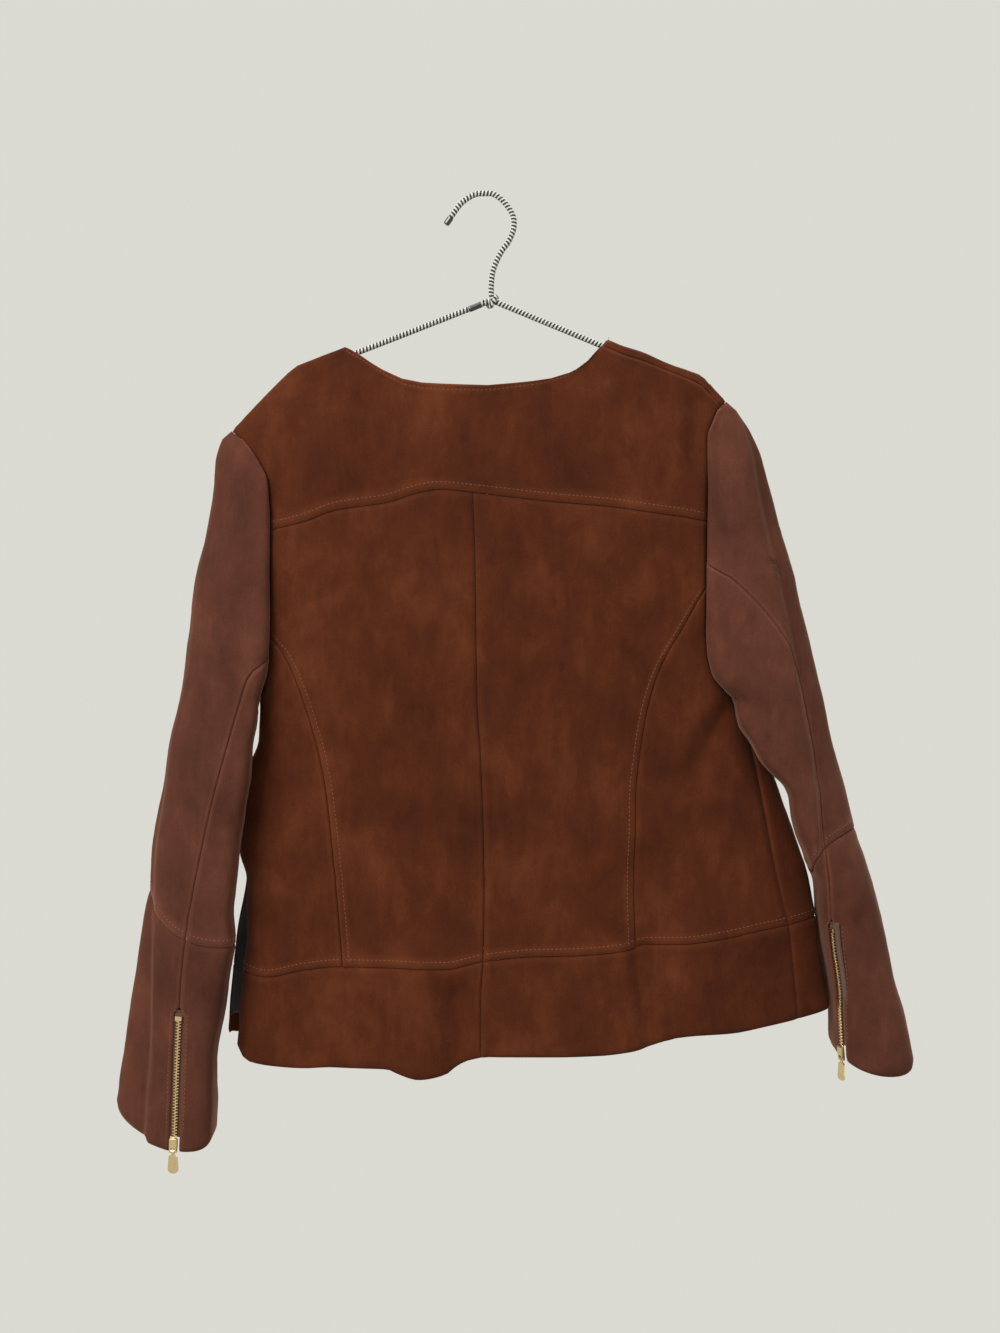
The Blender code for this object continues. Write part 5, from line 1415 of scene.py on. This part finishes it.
def suede(name, light, mid, deep, sheen):
    """Napped hide: brushed patches, vertical streaks and a fine nap."""
    graph = Graph(name)
    cloud = graph.noise(10, (1.0, 1.0, 0.9), 5, 0.6, 0.25)
    brush = graph.noise(30, (1.1, 1.0, 0.7), 5, 0.62, 0.35)
    streak = graph.noise(85, (1.5, 1.0, 0.4), 4, 0.6, 0.2)
    nap = graph.noise(720, (1.2, 1.0, 0.7), 3, 0.65)
    value = graph.math("MULTIPLY", cloud, 0.42)
    for layer, share in ((brush, 0.34), (streak, 0.13), (nap, 0.11)):
        value = graph.math("ADD", value, graph.math("MULTIPLY", layer, share))
    colour = graph.ramp(value, (0.37, deep), (0.50, mid), (0.63, light))
    speck = graph.noise(1500, (1, 1, 1), 2, 0.7)
    colour = graph.mix(1.0, colour, graph.ramp(speck, (0.3, 0.86), (0.7, 1.14)), "MULTIPLY")
    # Painted shade: seams' grooves and hem edges darkened toward the deep colour
    painted_shade = graph.math("MULTIPLY", graph.attribute("painted_shade"), 0.40)
    colour = graph.mix(painted_shade, colour, (*[c * 0.45 for c in deep], 1))
    # Welts lightened toward the brushed-up colour: partly wear, partly painted highlight on their raised
    # edges
    wear_and_highlight = graph.math("MULTIPLY", graph.attribute("wear_and_highlight"), graph.math("ADD", 0.10, brush))
    colour = graph.mix(wear_and_highlight, colour, (*[min(1, c * 1.55) for c in light], 1))
    rough = graph.ramp(brush, (0.3, 0.86), (0.7, 0.98))
    pile = graph.bump(nap, 0.5, 0.00045)
    pile = graph.bump(brush, 0.30, 0.0012, pile)
    graph.set(Base_Color=colour, Roughness=rough, Normal=pile)
    graph.set(Sheen_Weight=sheen, Sheen_Roughness=0.42, Sheen_Tint=(0.95, 0.52, 0.36, 1))
    graph.set(Specular_IOR_Level=0.08)
    return graph.material


def metal(name, colour, rough):
    graph = Graph(name)
    scuff = graph.noise(260, (1, 1, 3), 3, 0.6)
    tint = graph.mix(graph.ramp(scuff, (0.35, 0.0), (0.75, 0.5)), (*colour, 1),
                     (*[c * 0.62 for c in colour], 1))
    graph.set(Base_Color=tint, Metallic=1.0)
    graph.set(Roughness=graph.ramp(scuff, (0.3, rough), (0.8, rough + 0.18)))
    graph.set(Normal=graph.bump(scuff, 0.15, 0.0002))
    return graph.material


def woven(name, colour, pitch, sheen=0.2):
    """Fine woven cloth, by its own crossing ribs."""
    graph = Graph(name)
    place = graph.add("ShaderNodeTexCoord").outputs["Object"]
    waves = []
    for direction in ("X", "Z"):
        wave = graph.add("ShaderNodeTexWave", dict(bands_direction=direction), Vector=place,
                         Scale=0.314 / pitch, Distortion=0.4)
        waves.append(wave.outputs["Fac"])
    weave = graph.math("MULTIPLY", waves[0], waves[1])
    fuzz = graph.noise(900, (1, 1, 1), 2, 0.6)
    shade = graph.math("ADD", graph.math("MULTIPLY", weave, 0.6), graph.math("MULTIPLY", fuzz, 0.5))
    tint = graph.ramp(shade, (0.2, [c * 0.6 for c in colour]), (0.9, [min(1, c * 1.5) for c in colour]))
    graph.set(Base_Color=tint, Roughness=graph.ramp(fuzz, (0.3, 0.75), (0.7, 0.92)))
    graph.set(Normal=graph.bump(weave, 0.6, 0.0002), Sheen_Weight=sheen)
    return graph.material


def satin(name):
    graph = Graph(name)
    grain = graph.noise(420, (6, 6, 0.5), 3, 0.6)
    cloud = graph.noise(22, (1, 1, 1), 3, 0.5)
    # Near-black: the lining's own black, and also painted shade of the deep crevice beside the left sleeve
    # where it shows
    tint = graph.ramp(cloud, (0.3, (0.0035, 0.0035, 0.004)), (0.7, (0.009, 0.009, 0.010)))
    graph.set(Base_Color=tint, Roughness=graph.ramp(grain, (0.3, 0.42), (0.7, 0.6)))
    graph.set(Normal=graph.bump(grain, 0.25, 0.0002), Sheen_Weight=0.1)
    return graph.material


def glossy_cap(name):
    graph = Graph(name)
    scuff = graph.noise(300, (1, 1, 1), 3, 0.6)
    graph.set(Base_Color=graph.ramp(scuff, (0.3, (0.006, 0.006, 0.007)), (0.8, (0.02, 0.02, 0.022))))
    graph.set(Roughness=graph.ramp(scuff, (0.3, 0.16), (0.8, 0.34)), Normal=graph.bump(scuff, 0.1, 0.0002))
    graph.set(Coat_Weight=0.4, Coat_Roughness=0.1)
    return graph.material


def cord_wrap(name):
    """Black and white cord wound slantwise: the stripes follow the wire."""
    graph = Graph(name)
    stripe = graph.attribute("stripe")
    fibre = graph.noise(1400, (1, 1, 1), 2, 0.6)
    soft = graph.math("ADD", stripe, graph.math("MULTIPLY", graph.math("SUBTRACT", fibre, 0.5), 0.35))
    tint = graph.ramp(soft, (0.56, (0.010, 0.010, 0.013)), (0.70, (0.50, 0.49, 0.46)))
    graph.set(Base_Color=tint, Roughness=graph.ramp(fibre, (0.3, 0.7), (0.7, 0.9)))
    graph.set(Normal=graph.bump(fibre, 0.4, 0.0002), Sheen_Weight=0.25)
    return graph.material


# Brushed-up, middle and deep colours of the body's hide, and of the same hide on the sleeves, lighter and
# greyer there to paint the sheen of grazing light
BODY_HIDE = [(0.094, 0.0255, 0.0096), (0.060, 0.0142, 0.0050), (0.036, 0.0080, 0.0028)]
SLEEVE_HIDE_PAINTED_SHEEN = [(0.104, 0.036, 0.0225), (0.073, 0.0240, 0.0148), (0.047, 0.0145, 0.0088)]
FINISHES = dict(
    suede=suede("suede", *BODY_HIDE, 0.10),
    # Painted sheen: the sleeves are the body's suede, tinted lighter and greyer
    sleeve=suede("sleeve_suede", *SLEEVE_HIDE_PAINTED_SHEEN, 0.16),
    thread=woven("thread", (0.150, 0.052, 0.019), 0.0006),
    # Painted shade: the needle holes' near-black colour stands for the shade inside each puncture
    hole_shade_finish=woven("needle_hole_painted_shade", (0.020, 0.006, 0.003), 0.0006, 0.0),
    # The lining's near-black is its own black and also painted shade of the crevice beside the left sleeve
    lining=satin("lining_satin_crevice_shade"),
    brass=metal("brass", (0.78, 0.60, 0.33), 0.22),
    tape=woven("zip_tape", (0.085, 0.030, 0.014), 0.0009),
    cap=glossy_cap("cap_plastic"),
    cord=cord_wrap("hanger_cord"),
)


# ---- Cloth -----------------------------------------------------------------------------


def neighbour_faces(edge, panel):
    """The outward directions along one edge of a piece."""
    normals = panel["normals"]
    return dict(top=normals[0], bottom=normals[-1], left=normals[:, 0], right=normals[:, -1])[edge]


def add_cloth():
    """Every garment piece, and the topstitch rows that run beside their seams."""
    outers = {}
    for name, panel in PANELS.items():
        kind = "sleeve" if name.startswith("sleeve") else "lining" if name.startswith("lining") else "suede"
        outers[name] = wall(name, panel, FINISHES[kind], "cloth_" + name)
    for name, panel in PANELS.items():
        rows = []
        for edge, style in edge_styles(name).items():
            if style not in SEAM_ROWS:
                continue
            line = row_points(outers[name], edge, SEAM_ROWS[style])
            on = stitched(name, edge, style, panel["points"]) > 0
            rows.append((line[on], neighbour_faces(edge, panel)[on]))
        if rows:
            add_stitches("stitches_" + name, rows)


# ---- Zips ------------------------------------------------------------------------------


STRIPE = 3.15  # length along the wire of one black and one white turn
TAPE_PAST = 3.5  # how far the tape reaches behind the suede on each side
TOOTH_PITCH = 1.25
# A tooth's outline, across and up the zip, and its levels: how far out, and their scale
TOOTH_OUTLINE = [(-0.75, -0.42), (-0.3, -0.62), (1.9, -0.62), (2.35, -0.4), (2.35, 0.4), (1.9, 0.62),
                 (-0.3, 0.62), (-0.75, 0.42)]
TOOTH_MIDDLE = 0.8
TOOTH_LEVELS = [(-0.95, 1.0), (0.45, 1.0), (0.95, 0.72)]


def zip_path(side, z0, z1, count, lift):
    """Points and directions down the zip, with a lift off the suede's middle."""
    _, across, out, up = zip_frame(side)
    points = []
    for z in np.linspace(z0, z1, count):
        points.append(sleeve(side, back_seam_turn(side, z), z) + out * lift)
    return np.array(points), across, out, up


def add_zip(side):
    """Teeth, woven tape and the topstitch that frames the zip."""
    top, end = ZIP_ENDS[side]
    count = int(abs(end - top + SLIT_RUN) / TOOTH_PITCH)
    points, across, out, up = zip_path(side, top - SLIT_RUN, end, count, CHAIN_LIFT)
    vertices = []
    faces = []
    for k, point in enumerate(points):
        lean = 1 if k % 2 else -1
        base = len(vertices)
        for depth, shrink in TOOTH_LEVELS:
            for x, z in TOOTH_OUTLINE:
                reach = TOOTH_MIDDLE + (x - TOOTH_MIDDLE) * shrink
                vertices.append(point + across * lean * reach + up * z * shrink + out * depth)
        faces += tube_faces(base, len(TOOTH_LEVELS), len(TOOTH_OUTLINE))
    teeth = new_piece("zip_teeth_" + side, vertices, faces, FINISHES["brass"],
                      smooth_shading=False)
    repair(teeth)
    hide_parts(f"cuff_zip_{side}_chain")
    add_tape(side, top, end)
    rows = []
    for sign in (-1, 1):
        line, _, _, _ = zip_path(side, top + 3, end + 4, 60, SUEDE / 2)
        line = line + across * sign * (ZIP_SLIT / 2 + SEAM_ROWS["zip"])
        rows.append((on_sleeve(side, line, out), np.repeat(out[None], 60, axis=0)))
    reach = ZIP_SLIT / 2 + SEAM_ROWS["zip"]
    bar = np.array([line[0] + across * (share - 2) * reach for share in np.linspace(0, 2, 8)])
    rows.append((on_sleeve(side, bar, out), np.repeat(out[None], 8, axis=0)))
    add_stitches("stitches_zip_" + side, rows)
    for part in ("slider", "top_stop", "pull"):
        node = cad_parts[f"cuff_zip_{side}_{part}"]
        for place in node.material_slots:
            place.material = FINISHES["brass"]


def on_sleeve(side, line, out):
    """Drops a line near a cuff on to the cloth's face."""
    trees = []
    for name in ("cloth_sleeve_lower_" + side, "cloth_sleeve_lower_under_" + side):
        shape = bmesh.new()
        shape.from_mesh(bpy.data.objects[name].data)
        trees.append(BVHTree.FromBMesh(shape))
        shape.free()
    placed = []
    for point in line:
        best = None
        for tree in trees:
            hit = tree.ray_cast(Vector((point + out * 12) * MM), Vector(-out), 0.03)
            if hit[0] is not None and (best is None or hit[3] < best[1]):
                best = (np.array(hit[0]) / MM, hit[3])
        placed.append(best[0] if best else point)
    return np.array(placed)


def add_tape(side, top, end):
    """The woven tape behind the teeth, a closed thin wall."""
    tape_lift = -SUEDE / 2 - SEAM_GAP - TAPE / 2
    points, across, out, _ = zip_path(side, top + TAPE_PAST, end, 80, tape_lift)
    width = ZIP_SLIT + 2 * TAPE_PAST
    shares = np.linspace(-0.5, 0.5, 17)
    grid = points[:, None] + across * (shares * width)[None, :, None]
    grid = grid - out * (0.25 * (1 - np.abs(shares) * 2) ** 8)[None, :, None]
    normals = np.broadcast_to(out, grid.shape)
    thin = TAPE / 2
    faces_of_tape = [(grid + sign * normals * thin).reshape(-1, 3) for sign in (1, -1)]
    rows, columns = grid.shape[:2]
    tape = new_piece("zip_tape_" + side, np.concatenate(faces_of_tape), wall_faces(rows, columns),
                     FINISHES["tape"])
    repair(tape)
    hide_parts(f"cuff_zip_{side}_tape")
    length = np.linalg.norm(np.diff(points, axis=0), axis=1).sum()


def repair(piece):
    shape = bmesh.new()
    shape.from_mesh(piece.data)
    bmesh.ops.recalc_face_normals(shape, faces=shape.faces)
    shape.to_mesh(piece.data)
    shape.free()


# ---- Hanger ----------------------------------------------------------------------------


CORD_STEP = 0.42
RIDGE = 0.16  # how far each turn of cord stands out
TWIST = dict(turns=1.25, start=0.9, reach=3.4, thin=3.1, slope=0.38, places=24)  # the arms' end, wound on


def rounded(places, step):
    """A smooth line through points, one place each step."""
    points = np.array([(p[0], p[2] if len(p) == 3 else 0.0, p[1]) for p in places], float)
    ghost = np.concatenate([[2 * points[0] - points[1]], points, [2 * points[-1] - points[-2]]])
    made = []
    for k in range(1, len(ghost) - 2):
        a, b, c, d = ghost[k - 1:k + 3]
        count = max(2, int(np.linalg.norm(c - b) / step))
        for t in np.arange(count) / count:
            made.append(0.5 * (2 * b + (c - a) * t + (2 * a - 5 * b + 4 * c - d) * t ** 2
                               + (3 * b - a - 3 * c + d) * t ** 3))
    made.append(points[-1])
    return np.array(made)


def cord_tube(title, places, node=None, phase=0.0, radius=WIRE_RADIUS):
    """A wire wound with two-coloured cord, each turn a low ridge."""
    centre = rounded(places, CORD_STEP)
    steps = np.linalg.norm(np.diff(centre, axis=0), axis=1)
    run = np.concatenate([[0], np.cumsum(steps)])
    tangent = np.gradient(centre, axis=0)
    tangent /= np.linalg.norm(tangent, axis=1, keepdims=True)
    across = np.array([0.0, 1.0, 0.0])
    around = 20
    vertices = []
    stripes = []
    for k, point in enumerate(centre):
        side = across - tangent[k] * (across @ tangent[k])
        side /= np.linalg.norm(side)
        up = np.cross(tangent[k], side)
        for turn in range(around):
            angle = 2 * math.pi * turn / around
            wound = (run[k] + phase) / STRIPE + angle / (2 * math.pi)
            ridge = abs(math.sin(2 * math.pi * wound))
            reach = radius - RIDGE + RIDGE * ridge ** 0.5
            vertices.append(point + reach * (side * math.cos(angle) + up * math.sin(angle)))
            stripes.append(0.5 + 0.5 * math.tanh(5 * math.sin(2 * math.pi * wound)))
    faces = tube_faces(0, len(centre), around)
    tube = new_piece(title, vertices, faces, FINISHES["cord"])
    repair(tube)
    point_value(tube, "stripe", stripes)
    if node:
        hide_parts(node)


def add_hanger():
    """The four wires with their cord, the wound end and the two plastic caps."""
    cord_tube("cord_hook", HOOK_WIRE, "hanger_hook")
    cord_tube("cord_arm_left", ARM_LEFT_WIRE, "hanger_arm_left", 1.1)
    cord_tube("cord_arm_right", ARM_RIGHT_WIRE, "hanger_arm_right", 2.0)
    bar = bend(ARM_LEFT_WIRE, -1) + bend(ARM_RIGHT_WIRE, 1)[::-1]
    cord_tube("cord_bar", bar, "hanger_bar", 0.4)
    twist = []
    for k in range(TWIST["places"] + 1):
        share = k / TWIST["places"]
        angle = 2 * math.pi * share * TWIST["turns"] - TWIST["start"]
        along = 8.5 - 12.0 * share
        height = -92.9 + TWIST["slope"] * (along - 4) + TWIST["reach"] * math.cos(angle)
        twist.append((along + 0.6 * math.sin(angle), height, -TWIST["thin"] * math.sin(angle)))
    cord_tube("cord_twist", twist, None, 0.0, 1.9)
    for name in ("hanger_tip_cap", "hanger_end_cap"):
        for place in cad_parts[name].material_slots:
            place.material = FINISHES["cap"]


# ---- Stage -----------------------------------------------------------------------------


FLOOR_HEIGHT = -3.8
FLOOR_REACH = 5
SENSOR = 36
FOCAL = 40.3
CAMERA_AT = (0.0105, -1.314, -0.414)
LIGHT_AIM = Vector((0.0, 0.0, -0.42))
# Each light's name, place, size, power and colour
LIGHTS = [
    ("key", (-1.7, -2.2, 1.4), 1.8, 118, (1.0, 0.97, 0.93)),
    ("fill", (2.0, -2.4, -0.5), 2.2, 9, (0.96, 0.97, 1.0)),
    ("top", (0.1, 0.1, 1.8), 1.6, 26, (1.0, 0.98, 0.96)),
    ("behind", (1.2, 2.5, 0.9), 1.8, 95, (1.0, 0.98, 0.95)),
]


def add_stage():
    """A pale floor far below, soft light from the upper left, and the camera."""
    scene = bpy.context.scene
    scene.view_settings.view_transform = "Standard"
    mesh = bpy.data.meshes.new("floor")
    signs = [(-1, -1), (1, -1), (1, 1), (-1, 1)]
    corners = [(x * FLOOR_REACH, y * FLOOR_REACH, FLOOR_HEIGHT) for x, y in signs]
    mesh.from_pydata(corners, [], [(0, 1, 2, 3)])
    floor = bpy.data.objects.new("floor", mesh)
    paint = Graph("floor_paint")
    paint.set(Base_Color=(0.66, 0.65, 0.61, 1), Roughness=0.9)
    mesh.materials.append(paint.material)
    scene.collection.objects.link(floor)
    world = bpy.data.worlds.new("pale_room")
    scene.world = world
    world.use_nodes = True
    air = world.node_tree.nodes["Background"]
    air.inputs["Color"].default_value = (0.705, 0.700, 0.648, 1)
    air.inputs["Strength"].default_value = 1.0
    for name, place, size, power, colour in LIGHTS:
        data = bpy.data.lights.new(name, "AREA")
        data.size = size
        data.energy = power
        data.color = colour
        lamp = bpy.data.objects.new(name, data)
        lamp.location = place
        lamp.rotation_euler = (LIGHT_AIM - Vector(place)).to_track_quat("-Z", "Y").to_euler()
        scene.collection.objects.link(lamp)
    lens = bpy.data.cameras.new("camera")
    lens.sensor_fit = "VERTICAL"
    lens.sensor_height = SENSOR
    lens.sensor_width = SENSOR
    lens.lens = FOCAL
    camera = bpy.data.objects.new("camera", lens)
    camera.location = CAMERA_AT
    camera.rotation_euler = (math.pi / 2, 0, 0)
    scene.collection.objects.link(camera)
    scene.camera = camera


back_panels()
front_panels()
for jacket_side in ("left", "right"):
    sleeve_panels(jacket_side)
shared_normals()
lining_panel()
add_cloth()
for jacket_side in ("left", "right"):
    add_zip(jacket_side)
add_hanger()
add_stage()
